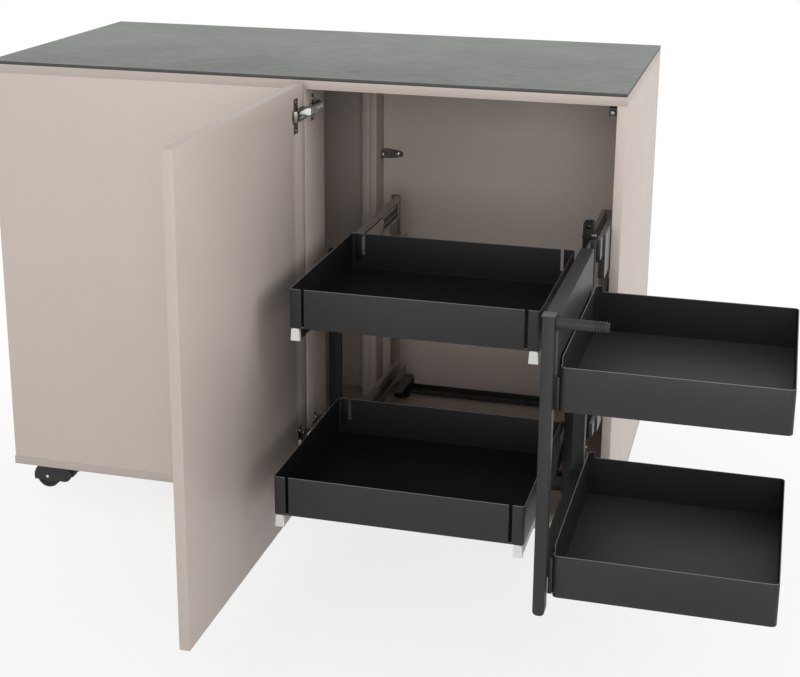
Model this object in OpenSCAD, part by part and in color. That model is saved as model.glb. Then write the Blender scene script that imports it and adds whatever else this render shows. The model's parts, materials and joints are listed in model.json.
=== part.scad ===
/* [Carcass] */
// Width of the cabinet box
carcass_w = 1200; // [1150:1:1300]
// Depth of the cabinet box
carcass_d = 580; // [570:1:660]
// Height of the cabinet box, without worktop and castors
carcass_h = 817; // [790:1:880]
// Thickness of the boards
board_t = 16; // [14:0.5:18]
// Thickness of the worktop slab
worktop_t = 6; // [4:0.5:20]
// How far the blind front and left side sit in from the left end
left_inset = 2; // [0:0.5:5]
// Right face of the hinge post, from the left end
post_face_x = 628; // [600:1:640]
// Depth of the hinge post
post_d = 110; // [95:1:130]
// Left face of the rear stile, from the left end
stile_x = 586; // [500:1:592]
// Depth of the rear stile
stile_d = 60; // [40:1:70]

/* [Door] */
// Width of the door
door_w = 582; // [560:1:620]
// Gap between the top edges of the door and the box
door_top_gap = 2; // [1:0.5:6]
// Thickness of the door
door_t = 18; // [16:0.5:19]
// Bottom edge of the door above the underside of the box
door_z = 15; // [8:1:16]
// Gap between the front of the box and the edge of the open door
door_gap = 8; // [7:0.5:10]
// Height of the lower hinge above the underside of the box
low_hinge_z = 143; // [115:1:180]
// Distance of the upper hinge below the top of the door
top_hinge_drop = 53; // [45:1:120]

/* [Castors] */
// Height of a castor, from the floor to the box
castor_h = 68; // [66:0.5:80]
// Radius of a castor wheel
wheel_r = 25; // [22:0.5:27]
// Distance of the castor stems from the edges of the box
castor_inset = 70; // [60:1:100]

/* [Trays] */
// Height of the tray walls
tray_h = 69; // [60:1:75]
// Underside of the upper trays above the underside of the box
upper_tray_z = 446; // [430:1:455]
// Underside of the lower trays above the underside of the box
lower_tray_z = 148; // [144:1:160]
// Thickness of the tray sheet
sheet_t = 1.5; // [1:0.1:2]
// Room between the rear trays and the swing frame
tray_room = 44; // [43:1:70]
// Depth of the rear trays
rear_tray_d = 363; // [340:1:370]
// Left face of the rear trays, from the left end
rear_tray_x = 686; // [684:1:690]
// How far the upper rear tray is drawn out past the front
upper_out = 267; // [200:1:280]
// How far the lower rear tray is drawn out past the front
lower_out = 358; // [300:1:370]
// Width of the front trays
front_tray_w = 328; // [300:1:340]
// Depth of the front trays
front_tray_d = 371; // [350:1:372]
// How much the frame side of a front tray stands above its other walls
side_rise = 10; // [2:1:14]

/* [Front frame] */
// Height of the top of the frame above the underside of the box
frame_top_z = 592; // [585:1:600]
// Bottom of the front post above the underside of the box
frame_low_z = 125; // [110:1:135]
// Front face of the front post, ahead of the box
frame_front = 527; // [524:1:540]
// Radius of the handle rod
handle_r = 8; // [6:0.5:9]
// Length of the handle rod
handle_l = 76; // [50:1:100]

/* [Rear carrier] */
// Module of the rack and pinion teeth
gear_m = 2; // [1.5:0.1:2.4]
// Number of teeth on the pinion
pinion_n = 16; // [14:1:18]
// Height of the side rails of the carrier
rail_h = 48; // [40:1:54]

/* [Clearances] */
// Gap between pieces that slide past each other
slide_gap = 0.5; // [0.3:0.1:0.8]
// Radial clearance between a pin and its bore
pin_gap = 0.05; // [0.02:0.01:0.09]

/* [Hidden] */
$fn = 48;
// Inside of the box
floor_z = board_t;
ceiling_z = carcass_h - board_t;
inner_h = ceiling_z - floor_z;
back_y = carcass_d - board_t;
right_x = carcass_w - board_t;
left_x = left_inset + board_t;
post_x = post_face_x - board_t;
door_h = carcass_h - door_z - door_top_gap;
touch = 0.2;
// Colours as photographed
board_colour = [0.78, 0.74, 0.70];
stone_colour = [0.57, 0.58, 0.56];
anthracite = [0.25, 0.25, 0.26];
steel_colour = [0.66, 0.66, 0.66];
black_plastic = [0.08, 0.08, 0.08];
white_plastic = [0.92, 0.92, 0.90];
// Door hinge: the axis lies inside the door, close to its rear edge
axis_in = 9;
axis_back = 3;
axis_x = post_face_x - axis_in;
axis_y = -door_gap - axis_back;
door_face_x = post_face_x;
hinge_zs = [low_hinge_z, door_z + door_h - top_hinge_drop];
cup_r = 17.5;
cup_depth = 12.5;
cup_in = 46;
cup_y = -door_gap - cup_in;
hinge_pin_r = 1.5;
hinge_eye_r = 4;
hinge_half = 6;
pin_end = 3.5;
notch_half = 10.5;
notch_in = 6;
wing_t = 1.2;
wing_half = 31;
wing_d = 20;
wing_screw_in = 6;
wing_screw_h = 2.6;
cheek_t = 3;
cheek_h = 7;
cheek_half = 4;
cheek_back = 2.6;
cheek_step = 7;
bridge_front = 9;
plate_t = 5;
plate_y = 37;
plate_half = 8;
plate_lead = 15;
plate_tail = 35;
foot_t = 2;
foot_half = 6;
pan_r = 4;
pan_h = 4;
cross_half = 0.6;
cross_reach = 3;
cross_depth = 1;
screw_pitch = 32;
arm_t = 8;
arm_tip_y = -4;
arm_tail = 33;
arm_fold = 3;
arm_slot_in = 3;
arm_slot_y = [plate_y - 2, plate_y + 26];
arm_screw_ys = [plate_y + 4, plate_y + 20];
arm_screw_r = 2.6;
// Angle bracket in the rear corner
bracket_share = 0.705;
bracket_l = 44;
bracket_w = 22;
bracket_t = 2;
bracket_screw_x = 32;
bracket_screw_y = 13;
bracket_head_h = 3;
// Screws of the box
screw_r = 2.5;
screw_head_r = 4.5;
screw_head_h = 3;
screw_l = 40;
screw_end = 60;
screw_ys = [screw_end, carcass_d / 2, carcass_d - screw_end];
past = 1;
// Push latch below the top panel
latch_w = 14;
latch_h = 14;
latch_d = 42;
latch_y = 3;
latch_drop = 4;
latch_z = ceiling_z - latch_h - latch_drop;
latch_bore = 27;
latch_hole_y = 36;
latch_hole_r = 2;
plunger_r = 3.5;
plunger_out = 8;
plunger_travel = 6;
plunger_spare = 4;
// Slotted clip on the right wall
clip_y = 5;
clip_w = 22;
clip_h = 28;
clip_t = 3;
clip_drop = 60;
clip_rim = 3;
clip_slot_h = 3;
clip_pitch = 6.5;
// Castors
castor_xs = [castor_inset, carcass_w - castor_inset];
castor_ys = [castor_inset, carcass_d - castor_inset];
castor_plate_t = 3;
castor_plate_w = 52;
plate_screw_in = 19;
plate_screw_h = 2;
stem_r = 5;
stem_l = 24;
castor_trail = 24;
wheel_face = 16.5;
dish_in = 6;
dish_depth = 3;
web_w = 12;
axle_r = 3;
wheel_z = wheel_r - castor_h;
hood_t = 2.5;
hood_r = wheel_r + 1.5 + hood_t;
hood_w = 54;
cheek_plate_t = 3;
wheel_side = 0.5;
boss_r = 12;
boss_top_z = -castor_plate_t - slide_gap;
boss_h = 16.5;
neck_x = 14;
neck_r = 15;
neck_up = 7;
skirt = 8;
far = 120;
// Swing axis and frame
swing_in = 19;
swing_x = right_x - swing_in;
swing_y = -94;
frame_w = 20.5;
frame_side = 12;
frame_x = swing_x - frame_side;
rear_tray_w = frame_x - rear_tray_x - tray_room;
// Corners and slots of the trays
slot_w = 6;
slot_in = 20;
slot_share = 0.58;
rear_tray_r = 6;
front_tray_r = 8;
side_strip = 12;
notch_w = 6;
notch_h = 22;
// Runners below the rear trays
runner_w = 14;
runner_wall = 1.5;
runner_h = 20;
runner_in = 3;
runner_drop = 1.5;
cap_d = 8;
cap_side = 1;
tray_in_y = 138;
runner_end = 5;
inner_l = rear_tray_d - cap_d - runner_end;
outer_y = 90;
middle_l = inner_l - runner_end;
middle_in_y = tray_in_y + cap_d + 4;
bracket_y = 10;
bracket_d = 40;
bracket_up = 6;
bracket_side = 4;
rear_tray_ys = [-lower_out, -upper_out];
rear_tray_zs = [lower_tray_z, upper_tray_z];
rear_travels = [lower_out + tray_in_y, upper_out + tray_in_y];
rear_mid_x = rear_tray_x + rear_tray_w / 2;
// Rear carrier
rail_t = 8;
tray_side = 2;
rail_x = rear_tray_x - tray_side - rail_t;
rail_y = 38;
stile_room = 52;
rail_end_y = back_y - stile_d - stile_room;
outer_l = rail_end_y - outer_y - cap_d;
upper_rail_up = 6;
upper_rail_z = upper_tray_z + upper_rail_up;
lower_rail_drop = 17;
lower_rail_z = lower_tray_z - lower_rail_drop - rail_h;
groove_in = 20;
groove_half = 3;
rail_hole_ys = [rail_end_y - 60, rail_end_y - 90];
rail_hole_drop = 14;
rail_hole_r = 2.5;
carrier_post_w = 24;
front_post_t = 8;
rear_post_w = 18;
rear_post_t = 8;
bar_h = 24;
bar_wall = 2;
carrier_low_z = lower_rail_z - bar_h;
front_bar_y = 60;
rear_bar_y = 300;
// Guide rails on the floor of the box
guide_d = 14;
guide_h = 20;
guide_wall = 2;
guide_lip_drop = 6;
guide_y = back_y - guide_d;
guide_x = stile_x + 2 * board_t;
track_y = 140;
track_w = 24;
track_h = 8;
foot_w = 38;
foot_in = 8;
foot_x = rail_x + rail_t + foot_in - foot_w;
foot_side = 6;
arm_z = carrier_low_z - foot_side;
slipper_side = 1.5;
slipper_end = back_y - guide_wall - slipper_side;
// Rack and pinion
pitch_l = PI * gear_m;
pinion_r = gear_m * pinion_n / 2;
rack_t = 6;
rack_up = 2;
rack_z = floor_z + rack_up;
rack_h = 10;
backlash = 0.35;
rack_tip_y = guide_y - rack_t;
rack_pitch_y = rack_tip_y + gear_m;
pinion_x = foot_x + foot_w / 2;
pinion_y = rack_pitch_y - pinion_r;
pinion_bore_r = 4;
pinion_collar_r = 8;
pressure = 20;
tooth_top = 0.9;
tooth_foot = 1.25;
// Front unit
post_w = 18;
post_t = 22;
post_bottom_r = 7;
bar_t = 22;
frame_back = 49;
rear_frame_y = swing_y - frame_back;
rear_frame_d = 22;
frame_corner_r = 10;
low_bar_up = 30;
low_bar_z = lower_tray_z + low_bar_up;
side_sheet_t = 1.5;
side_sheet_lap = 15;
tray_offset = 25;
front_tray_x = frame_x + tray_offset;
front_tray_back = 136;
front_tray_y = -front_tray_d - front_tray_back;
hook_x = frame_x + post_w;
hook_d = 24;
upper_hook = [2, 16];
lower_hook = [4, 6];
barrel_r = 5.5;
leaf_t = 3;
swing_pin_r = 3;
pin_head_r = 5;
pin_head_h = 4;
lug_t = 4;
lug_half = 2;
lug_side = 5;
barrel_l = 92;
top_barrel_z = frame_top_z - barrel_l;
low_barrel_drop = 28;
low_barrel_z = low_bar_z - low_barrel_drop;
low_barrel_l = 60;
upright_w = 18;
upright_side = 19;
upright_x = swing_x - upright_side;
upright_back = 8;
upright_y = swing_y + upright_back;
upright_rise = 26;
upright_corner_r = 4;
upright_top_z = frame_top_z + upright_rise;
upright_hole_r = 3.5;
// Runners on the right wall, upper and lower: height of the band, then its bottom
upper_band_h = 37;
upper_band_drop = 39;
upper_band_z = frame_top_z - upper_band_drop;
lower_lip_h = 35;
lower_band_h = 24;
lower_band_up = 85;
lower_band_z = lower_tray_z + lower_band_up;
rail_depth = 13;
wall_sheet_t = 1.5;
wall_lip = 7;
middle_t = 4.5;
middle_side = 2;
upper_channel = [41, 4];
lower_channel = [3, 3];
band_slot_y = 60;
band_slot_z = [12, 25];
band_slot_depth = 1;
band_hole_y = 44;
band_hole_z = 17;
band_hole_r = 3;
wall_rail_y = 6;
wall_rail_l = 500;
wall_middle_y = -60;
wall_middle_l = 390;
carriage_rail_l = 200;
handle_y = -frame_front + post_t / 2;
handle_drop = 8;
handle_z = frame_top_z - handle_drop;
plug_l = 4;
plug_in = 1;
plug_slot_w = 1.6;
post_rise = 4;
post_top_z = frame_top_z + post_rise;
// Place of the origin: middle of the footprint as photographed, on the floor
origin_x = (front_tray_x + front_tray_w) / 2;
origin_y = (carcass_d - door_gap - door_w) / 2;

// Moves the box coordinates to the part's own frame
module placed() {
    translate([-origin_x, -origin_y, castor_h]) children();
}

// Box between two corners
module block(low, high) {
    translate(low) cube(high - low);
}

// Upright cylinder with its foot at a point
module upright_rod(p, r, h) {
    translate(p) cylinder(r = r, h = h);
}

// Rod along X and rod along Y, starting at a point
module x_rod(p, r, h) {
    translate(p) rotate([0, 90, 0]) cylinder(r = r, h = h);
}

module y_rod(p, r, h) {
    translate(p) rotate([-90, 0, 0]) cylinder(r = r, h = h);
}

// Rectangle with four round corners, drawn from its lower left corner
module rounded_plate(w, d, r) {
    translate([r, 0]) square([w - 2 * r, d]);
    translate([0, r]) square([w, d - 2 * r]);
    for (x = [r, w - r], y = [r, d - r]) translate([x, y]) circle(r = r);
}

// Both sides of the rear carrier: children are drawn for the left side
module both_sides() {
    children();
    translate([2 * rear_mid_x, 0, 0]) mirror([1, 0, 0]) children();
}

// Screws that hold the top and bottom boards to the sides and the blind front
module at_screws() {
    for (x = [left_inset + board_t / 2, carcass_w - board_t / 2], y = screw_ys) {
        translate([x, y, 0]) children();
        translate([x, y, carcass_h]) mirror([0, 0, 1]) children();
    }
}

module screw_holes() {
    at_screws() {
        translate([0, 0, -past]) cylinder(r = screw_r + touch / 2, h = screw_l + 2 * past);
        translate([0, 0, -past]) cylinder(r = screw_head_r + touch, h = screw_head_h + past + touch);
    }
}

module worktop() {
    color(stone_colour) placed()
        block([0, 0, carcass_h], [carcass_w, carcass_d, carcass_h + worktop_t]);
}

module board(low, high) {
    color(board_colour) placed() difference() {
        block(low, high);
        screw_holes();
    }
}

module top_panel() {
    board([0, 0, ceiling_z], [carcass_w, carcass_d, carcass_h]);
}

module bottom_panel() {
    board([0, 0, 0], [carcass_w, carcass_d, floor_z]);
}

module left_side_panel() {
    board([left_inset, board_t, floor_z], [left_x, carcass_d, ceiling_z]);
}

module right_side_panel() {
    board([right_x, 0, floor_z], [carcass_w, carcass_d, ceiling_z]);
}

module back_panel() {
    board([left_x, back_y, floor_z], [right_x, carcass_d, ceiling_z]);
}

// Two narrow boards side by side that stand against the back panel
module rear_stile_boards() {
    for (i = [0, 1]) board([stile_x + i * board_t, back_y - stile_d, floor_z],
        [stile_x + (i + 1) * board_t - touch, back_y, ceiling_z]);
}

module blind_front_panel() {
    board([left_inset, 0, floor_z], [post_x, board_t, ceiling_z]);
}

module hinge_post() {
    board([post_x, 0, floor_z], [post_face_x, post_d, ceiling_z]);
}

module carcass_screws() {
    color(steel_colour) placed() at_screws() {
        cylinder(r = screw_r, h = screw_l);
        cylinder(r = screw_head_r, h = screw_head_h);
    }
}

// Plates screwed to the post, one for each hinge
module hinge_mounting_plates() {
    foot_z = screw_pitch / 2 + plate_half;
    color(steel_colour) placed() for (z = hinge_zs) translate([post_face_x, plate_y, z]) difference() {
        union() {
            block([0, -plate_lead, -plate_half], [plate_t, plate_tail, plate_half]);
            block([0, -foot_half, -foot_z], [foot_t, foot_half, foot_z]);
            for (dz = [-screw_pitch / 2, screw_pitch / 2]) x_rod([0, 0, dz], pan_r, pan_h);
        }
        for (dz = [-screw_pitch / 2, screw_pitch / 2]) translate([pan_h - cross_depth, 0, dz]) {
            block([0, -cross_reach, -cross_half], [past + cross_depth, cross_reach, cross_half]);
            block([0, -cross_half, -cross_reach], [past + cross_depth, cross_half, cross_reach]);
        }
    }
}

// Arms from the mounting plates to the hinge axis
module hinge_arms() {
    arm_low = post_face_x + plate_t;
    arm_high = arm_low + arm_t;
    eye_side = hinge_eye_r / 2;
    eye_reach = hinge_eye_r * 0.85;
    color(steel_colour) placed() for (z = hinge_zs) translate([0, 0, z - hinge_half]) {
        difference() {
            union() {
                block([arm_low, arm_tip_y, 0], [arm_high, plate_y + arm_tail, 2 * hinge_half]);
                linear_extrude(2 * hinge_half) polygon([
                    [arm_low, arm_tip_y + 2 * arm_fold], [arm_low, arm_tip_y],
                    [arm_high, arm_tip_y], [arm_high, arm_tip_y - arm_fold],
                    [axis_x + eye_side, axis_y - eye_reach], [axis_x - eye_side, axis_y + eye_reach]
                ]);
                upright_rod([axis_x, axis_y, 0], hinge_eye_r, 2 * hinge_half);
            }
            upright_rod([axis_x, axis_y, -past], hinge_pin_r, 2 * hinge_half + 2 * past);
            block([arm_high - past, arm_slot_y[0], arm_slot_in],
                [arm_high + past, arm_slot_y[1], 2 * hinge_half - arm_slot_in]);
        }
        for (y = arm_screw_ys) x_rod([arm_high - past, y, hinge_half], arm_screw_r, 2 * past);
    }
}

// Pins of the door hinges, fixed in the arms
module hinge_pins() {
    color(steel_colour) placed() for (z = hinge_zs)
        upright_rod([axis_x, axis_y, z - hinge_half - pin_end], hinge_pin_r, 2 * (hinge_half + pin_end));
}

// Small angle bracket with its screw, in the corner of stile and back
module corner_bracket() {
    x = stile_x + 2 * board_t;
    t = bracket_t;
    mid = bracket_w / 2;
    color(steel_colour) placed() translate([x, back_y, inner_h * bracket_share]) {
        block([0, -t, 0], [bracket_l, 0, bracket_w]);
        block([0, -bracket_w, 0], [t, -t, bracket_w]);
        y_rod([bracket_screw_x, -t - bracket_head_h, mid], screw_head_r, bracket_head_h);
        x_rod([t, -bracket_screw_y, mid], screw_head_r, bracket_head_h);
    }
}

module push_latch_body() {
    mid_z = latch_z + latch_h / 2;
    color(black_plastic) placed() difference() {
        block([right_x - latch_w, latch_y, latch_z], [right_x, latch_y + latch_d, latch_z + latch_h]);
        y_rod([right_x - latch_w / 2, latch_y - past, mid_z], plunger_r + pin_gap, latch_bore + past);
        y_rod([right_x - latch_w - past, latch_y + latch_hole_y, mid_z], latch_hole_r, latch_d);
    }
}

// Sprung plunger that the closed door pushes in
module latch_plunger() {
    color(steel_colour) placed()
        y_rod([right_x - latch_w / 2, -plunger_out, latch_z + latch_h / 2], plunger_r,
            plunger_out + latch_y + latch_bore - plunger_travel - plunger_spare);
}

// Slotted clip on the right wall
module wall_clip() {
    low_z = upper_band_z - clip_drop - clip_h;
    color(black_plastic) placed() translate([right_x, clip_y, low_z]) difference() {
        block([-clip_t, 0, 0], [0, clip_w, clip_h]);
        for (i = [0:3]) translate([-clip_t, clip_rim, clip_rim + i * clip_pitch])
            block([-past, 0, 0], [clip_t * 2 / 3, clip_w - 2 * clip_rim, clip_slot_h]);
    }
}

// Channel on the right wall, open towards the inside of the box
module wall_channel(z, h) {
    end_y = wall_rail_y + wall_rail_l;
    block([right_x - wall_sheet_t, wall_rail_y, z], [right_x, end_y, z + h]);
    for (zz = [z, z + h - wall_sheet_t])
        block([right_x - wall_lip, wall_rail_y, zz], [right_x, end_y, zz + wall_sheet_t]);
}

// Bottom and height of the wall channels around a band
function channel_z(band_z, room) = band_z - room[0];
function channel_h(band_h, room) = band_h + room[0] + room[1];

module wall_rails() {
    color(steel_colour) placed() {
        wall_channel(channel_z(upper_band_z, upper_channel), channel_h(upper_band_h, upper_channel));
        wall_channel(channel_z(lower_band_z, lower_channel), channel_h(lower_band_h, lower_channel));
    }
}

// Middle rails of the two wall runners, which travel half as far as the carriage
module wall_middle_rails() {
    web_x = right_x - middle_side;
    lip_top_z = upper_band_z - 2 * middle_side;
    color(steel_colour) placed() {
        middle_web(web_x, upper_band_z, upper_band_h, upper_channel);
        middle_web(web_x, lower_band_z, lower_band_h, lower_channel);
        block([right_x - rail_depth, wall_middle_y, lip_top_z - lower_lip_h],
            [web_x - middle_t, wall_middle_y + wall_middle_l, lip_top_z]);
    }
}

// Flat bar inside a wall channel, a sliding gap clear of its lips
module middle_web(web_x, band_z, band_h, room) {
    gap = wall_sheet_t + slide_gap;
    low_z = channel_z(band_z, room);
    block([web_x - middle_t, wall_middle_y, low_z + gap],
        [web_x, wall_middle_y + wall_middle_l, low_z + channel_h(band_h, room) - gap]);
}

// Inner rails of the wall runners, fixed to the swing carriage
module carriage_rails() {
    low_x = right_x - rail_depth;
    band_t = rail_depth - middle_side - middle_t - slide_gap;
    color(steel_colour) placed() {
        translate([low_x, upright_y, upper_band_z]) difference() {
            block([0, 0, 0], [band_t, carriage_rail_l, upper_band_h]);
            block([-past, band_slot_y, band_slot_z[0]],
                [band_slot_depth, carriage_rail_l + past, band_slot_z[1]]);
            x_rod([-past, band_hole_y, band_hole_z], band_hole_r, band_t + 2 * past);
        }
        translate([low_x, upright_y, lower_band_z])
            block([0, 0, 0], [band_t, carriage_rail_l, lower_band_h]);
    }
}

// Upright of the swing carriage, with its lugs for the swing pins
module carriage_upright() {
    mid_x = upright_x + upright_w / 2;
    hole_z = upright_top_z - upright_w / 2;
    back = upright_y + upright_w;
    color(anthracite) placed() difference() {
        union() {
            translate([upright_x, back, 0]) rotate([90, 0, 0]) linear_extrude(upright_w)
                upright_outline();
            for (z = [upper_band_z, lower_band_z])
                block([upright_x + upright_w, upright_y, z], [right_x - rail_depth, back, z + lower_band_h]);
            carriage_lugs();
        }
        y_rod([mid_x, upright_y - past, hole_z], upright_hole_r, upright_w + 2 * past);
        upright_rod([swing_x, swing_y, 0], swing_pin_r, carcass_h);
    }
}

// Front view of the upright, with its upper corners rounded
module upright_outline() {
    r = upright_corner_r;
    low_z = low_barrel_z - lug_t - slide_gap;
    translate([0, low_z]) square([upright_w, upright_top_z - r - low_z]);
    translate([r, low_z]) square([upright_w - 2 * r, upright_top_z - low_z]);
    for (x = [r, upright_w - r]) translate([x, upright_top_z - r]) circle(r = r);
}

// Four flat lugs that reach from the upright to the swing axis
module carriage_lugs() {
    zs = [top_barrel_z - lug_t - slide_gap, frame_top_z + slide_gap,
        low_barrel_z - lug_t - slide_gap, low_barrel_z + low_barrel_l + slide_gap];
    for (z = zs) translate([0, 0, z]) {
        upright_rod([swing_x, swing_y, 0], barrel_r, lug_t);
        block([upright_x, swing_y - lug_half, 0], [swing_x, upright_y + past, lug_t]);
        block([swing_x - lug_half, swing_y, 0], [swing_x + lug_side, upright_y, lug_t]);
    }
}

// Pins of the swing frame, with flat heads
module swing_pins() {
    pins = [[top_barrel_z - 2 * lug_t, frame_top_z + lug_t + slide_gap],
        [low_barrel_z - 2 * lug_t, low_barrel_z + low_barrel_l + lug_t + slide_gap]];
    color(steel_colour) placed() for (pin = pins) {
        upright_rod([swing_x, swing_y, pin[0]], swing_pin_r, pin[1] - pin[0]);
        upright_rod([swing_x, swing_y, pin[1]], pin_head_r, pin_head_h);
    }
}

// Rear post of the swing frame with its hinge barrels and leaves
module frame_rear_post() {
    color(anthracite) placed() difference() {
        union() {
            translate([frame_x, 0, 0]) rotate([90, 0, 90]) linear_extrude(frame_w) rear_post_outline();
            frame_barrel(top_barrel_z, barrel_l);
            frame_barrel(low_barrel_z, low_barrel_l);
        }
        upright_rod([swing_x, swing_y, 0], swing_pin_r + pin_gap, carcass_h);
    }
}

// Side view of the rear post, with its upper rear corner rounded
module rear_post_outline() {
    y0 = rear_frame_y - rear_frame_d;
    translate([y0, low_barrel_z])
        square([rear_frame_d, frame_top_z - frame_corner_r - low_barrel_z]);
    translate([y0, low_barrel_z])
        square([rear_frame_d - frame_corner_r, frame_top_z - low_barrel_z]);
    translate([rear_frame_y - frame_corner_r, frame_top_z - frame_corner_r]) circle(r = frame_corner_r);
}

module frame_barrel(z, h) {
    upright_rod([swing_x, swing_y, z], barrel_r, h);
    block([swing_x - barrel_r, rear_frame_y - past, z], [swing_x - barrel_r + leaf_t, swing_y, z + h]);
}

// Front post: a flat tube with a round foot
module frame_front_post() {
    color(anthracite) placed() translate([frame_x, -frame_front + post_t, 0]) rotate([90, 0, 0])
        linear_extrude(post_t) {
            translate([0, frame_low_z + post_bottom_r])
                square([post_w, post_top_z - frame_low_z - post_bottom_r]);
            translate([post_bottom_r, frame_low_z])
                square([post_w - 2 * post_bottom_r, post_bottom_r + past]);
            for (x = [post_bottom_r, post_w - post_bottom_r])
                translate([x, frame_low_z + post_bottom_r]) circle(r = post_bottom_r);
        }
}

// Top bar with the side sheet that backs the upper front tray
module frame_top_bar() {
    y0 = -frame_front + post_t;
    y1 = rear_frame_y - rear_frame_d;
    sheet_x = frame_x + frame_w;
    color(anthracite) placed() {
        block([frame_x, y0, frame_top_z - bar_t], [sheet_x, y1, frame_top_z]);
        block([sheet_x, y0, upper_tray_z + tray_h - side_sheet_lap],
            [sheet_x + side_sheet_t, y1, frame_top_z]);
    }
}

module frame_bottom_bar() {
    color(anthracite) placed()
        block([frame_x, -frame_front + post_t, low_bar_z],
            [frame_x + post_w, rear_frame_y - rear_frame_d, low_bar_z + bar_t]);
}

// Handle rod with a slotted end plug
module handle_rod() {
    x0 = frame_x + post_w;
    color(anthracite) placed() difference() {
        union() {
            x_rod([x0, handle_y, handle_z], handle_r, handle_l - plug_l);
            x_rod([x0 + handle_l - plug_l, handle_y, handle_z], handle_r - plug_in, plug_l);
        }
        for (a = [0, 60, 120]) translate([x0 + handle_l, handle_y, handle_z]) rotate([a, 0, 0])
            cube([plug_l, plug_slot_w, 2 * (handle_r + past)], center = true);
    }
}

// Plastic hooks that hold the front trays to the frame
module tray_hooks() {
    y0 = -frame_front + post_t;
    y1 = rear_frame_y - rear_frame_d;
    color(black_plastic) placed() for (y = [y0, y1 - hook_d]) {
        hook(y, upper_tray_z, upper_hook);
        hook(y, lower_tray_z, lower_hook);
    }
}

module hook(y, z, ends) {
    block([hook_x, y, z + ends[0]], [front_tray_x, y + hook_d, z + tray_h - ends[1]]);
}

// Slots near the corners: full height in the front wall, from the rim down in the rear wall
module corner_slots(w, d, h) {
    for (x = [slot_in, w - slot_in - slot_w]) {
        block([x, -past, 2 * sheet_t], [x + slot_w, 2 * sheet_t, h + past]);
        block([x, d - 2 * sheet_t, h * (1 - slot_share)], [x + slot_w, d + past, h + past]);
    }
}

// Folded sheet tray with its lower left corner at the origin
module tray_shell(w, d, h, r) {
    difference() {
        linear_extrude(h) rounded_plate(w, d, r);
        translate([sheet_t, sheet_t, sheet_t]) linear_extrude(h)
            rounded_plate(w - 2 * sheet_t, d - 2 * sheet_t, r - sheet_t);
    }
}

module rear_tray(i) {
    color(anthracite) placed() translate([rear_tray_x, rear_tray_ys[i], rear_tray_zs[i]]) difference() {
        tray_shell(rear_tray_w, rear_tray_d, tray_h, rear_tray_r);
        corner_slots(rear_tray_w, rear_tray_d, tray_h);
    }
}

module upper_rear_tray() {
    rear_tray(1);
}

module lower_rear_tray() {
    rear_tray(0);
}

// Front tray: the wall on the frame's side stands higher, with a notch near the front
module front_tray(z) {
    top = tray_h + side_rise + past;
    color(anthracite) placed() translate([front_tray_x, front_tray_y, z]) difference() {
        tray_shell(front_tray_w, front_tray_d, tray_h + side_rise, front_tray_r);
        block([side_strip, -past, tray_h], [front_tray_w + past, front_tray_d + past, top]);
        block([-past, -past, tray_h], [side_strip + past, side_strip, top]);
        block([-past, side_strip, tray_h - notch_h], [sheet_t + past, side_strip + notch_w, top]);
    }
}

module upper_front_tray() {
    front_tray(upper_tray_z);
}

module lower_front_tray() {
    front_tray(lower_tray_z);
}

// Channel under a tray, open downwards, for tray number i
module inner_runner_pair(i) {
    x = rear_tray_x + runner_in;
    y = rear_tray_ys[i] + cap_d;
    z = rear_tray_zs[i];
    color(steel_colour) placed() both_sides() difference() {
        block([x, y, z - runner_h - runner_drop], [x + runner_w, y + inner_l, z]);
        block([x + runner_wall, y - past, z - runner_h - runner_drop - past],
            [x + runner_w - runner_wall, y + inner_l + past, z - runner_drop]);
    }
}

module runner_cap_pair(i) {
    x = rear_tray_x + runner_in;
    y = rear_tray_ys[i];
    z = rear_tray_zs[i];
    color(white_plastic) placed() both_sides()
        block([x - cap_side, y, z - runner_h - runner_drop], [x + runner_w + cap_side, y + cap_d, z]);
}

// Bar between the inner and the outer channel, which travels half as far as the tray
module middle_runner_pair(i) {
    x = rear_tray_x + runner_in + runner_wall + slide_gap;
    y = middle_in_y - rear_travels[i] / 2;
    z = rear_tray_zs[i];
    color(steel_colour) placed() both_sides()
        block([x, y, z - 2 * runner_h + slide_gap],
            [x + runner_w - 2 * runner_wall - 2 * slide_gap, y + middle_l, z - runner_drop - slide_gap]);
}

// Channels fixed to the carrier, open upwards
module outer_runners() {
    x = rear_tray_x + runner_in;
    end_y = outer_y + outer_l;
    color(steel_colour) placed() both_sides() for (z = rear_tray_zs) difference() {
        block([x, outer_y, z - 2 * runner_h - runner_drop],
            [x + runner_w, end_y, z - runner_h - 2 * runner_drop]);
        block([x + runner_wall, outer_y - past, z - 2 * runner_h],
            [x + runner_w - runner_wall, end_y + past, z - runner_h]);
    }
}

module upper_inner_runners() {
    inner_runner_pair(1);
}

module upper_runner_caps() {
    runner_cap_pair(1);
}

module upper_middle_runners() {
    middle_runner_pair(1);
}

module lower_inner_runners() {
    inner_runner_pair(0);
}

module lower_runner_caps() {
    runner_cap_pair(0);
}

module lower_middle_runners() {
    middle_runner_pair(0);
}

// Brackets between the side rails and the outer runners
module runner_brackets() {
    inner_x = rail_x + rail_t;
    reach_x = rear_tray_x + runner_in;
    foot_z = upper_tray_z - 2 * runner_h - runner_drop;
    front_y = outer_y + bracket_y;
    rear_y = outer_y + outer_l - bracket_y - bracket_d;
    color(steel_colour) placed() both_sides() for (y = [front_y, rear_y]) {
        block([rail_x + bracket_side, y, foot_z], [inner_x, y + bracket_d, upper_rail_z]);
        block([inner_x, y, foot_z], [reach_x, y + bracket_d, foot_z + runner_drop + bracket_up]);
        block([inner_x, y, lower_tray_z - 2 * runner_h],
            [reach_x, y + bracket_d, lower_tray_z - 2 * runner_h + 2 * bracket_up]);
    }
}

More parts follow.
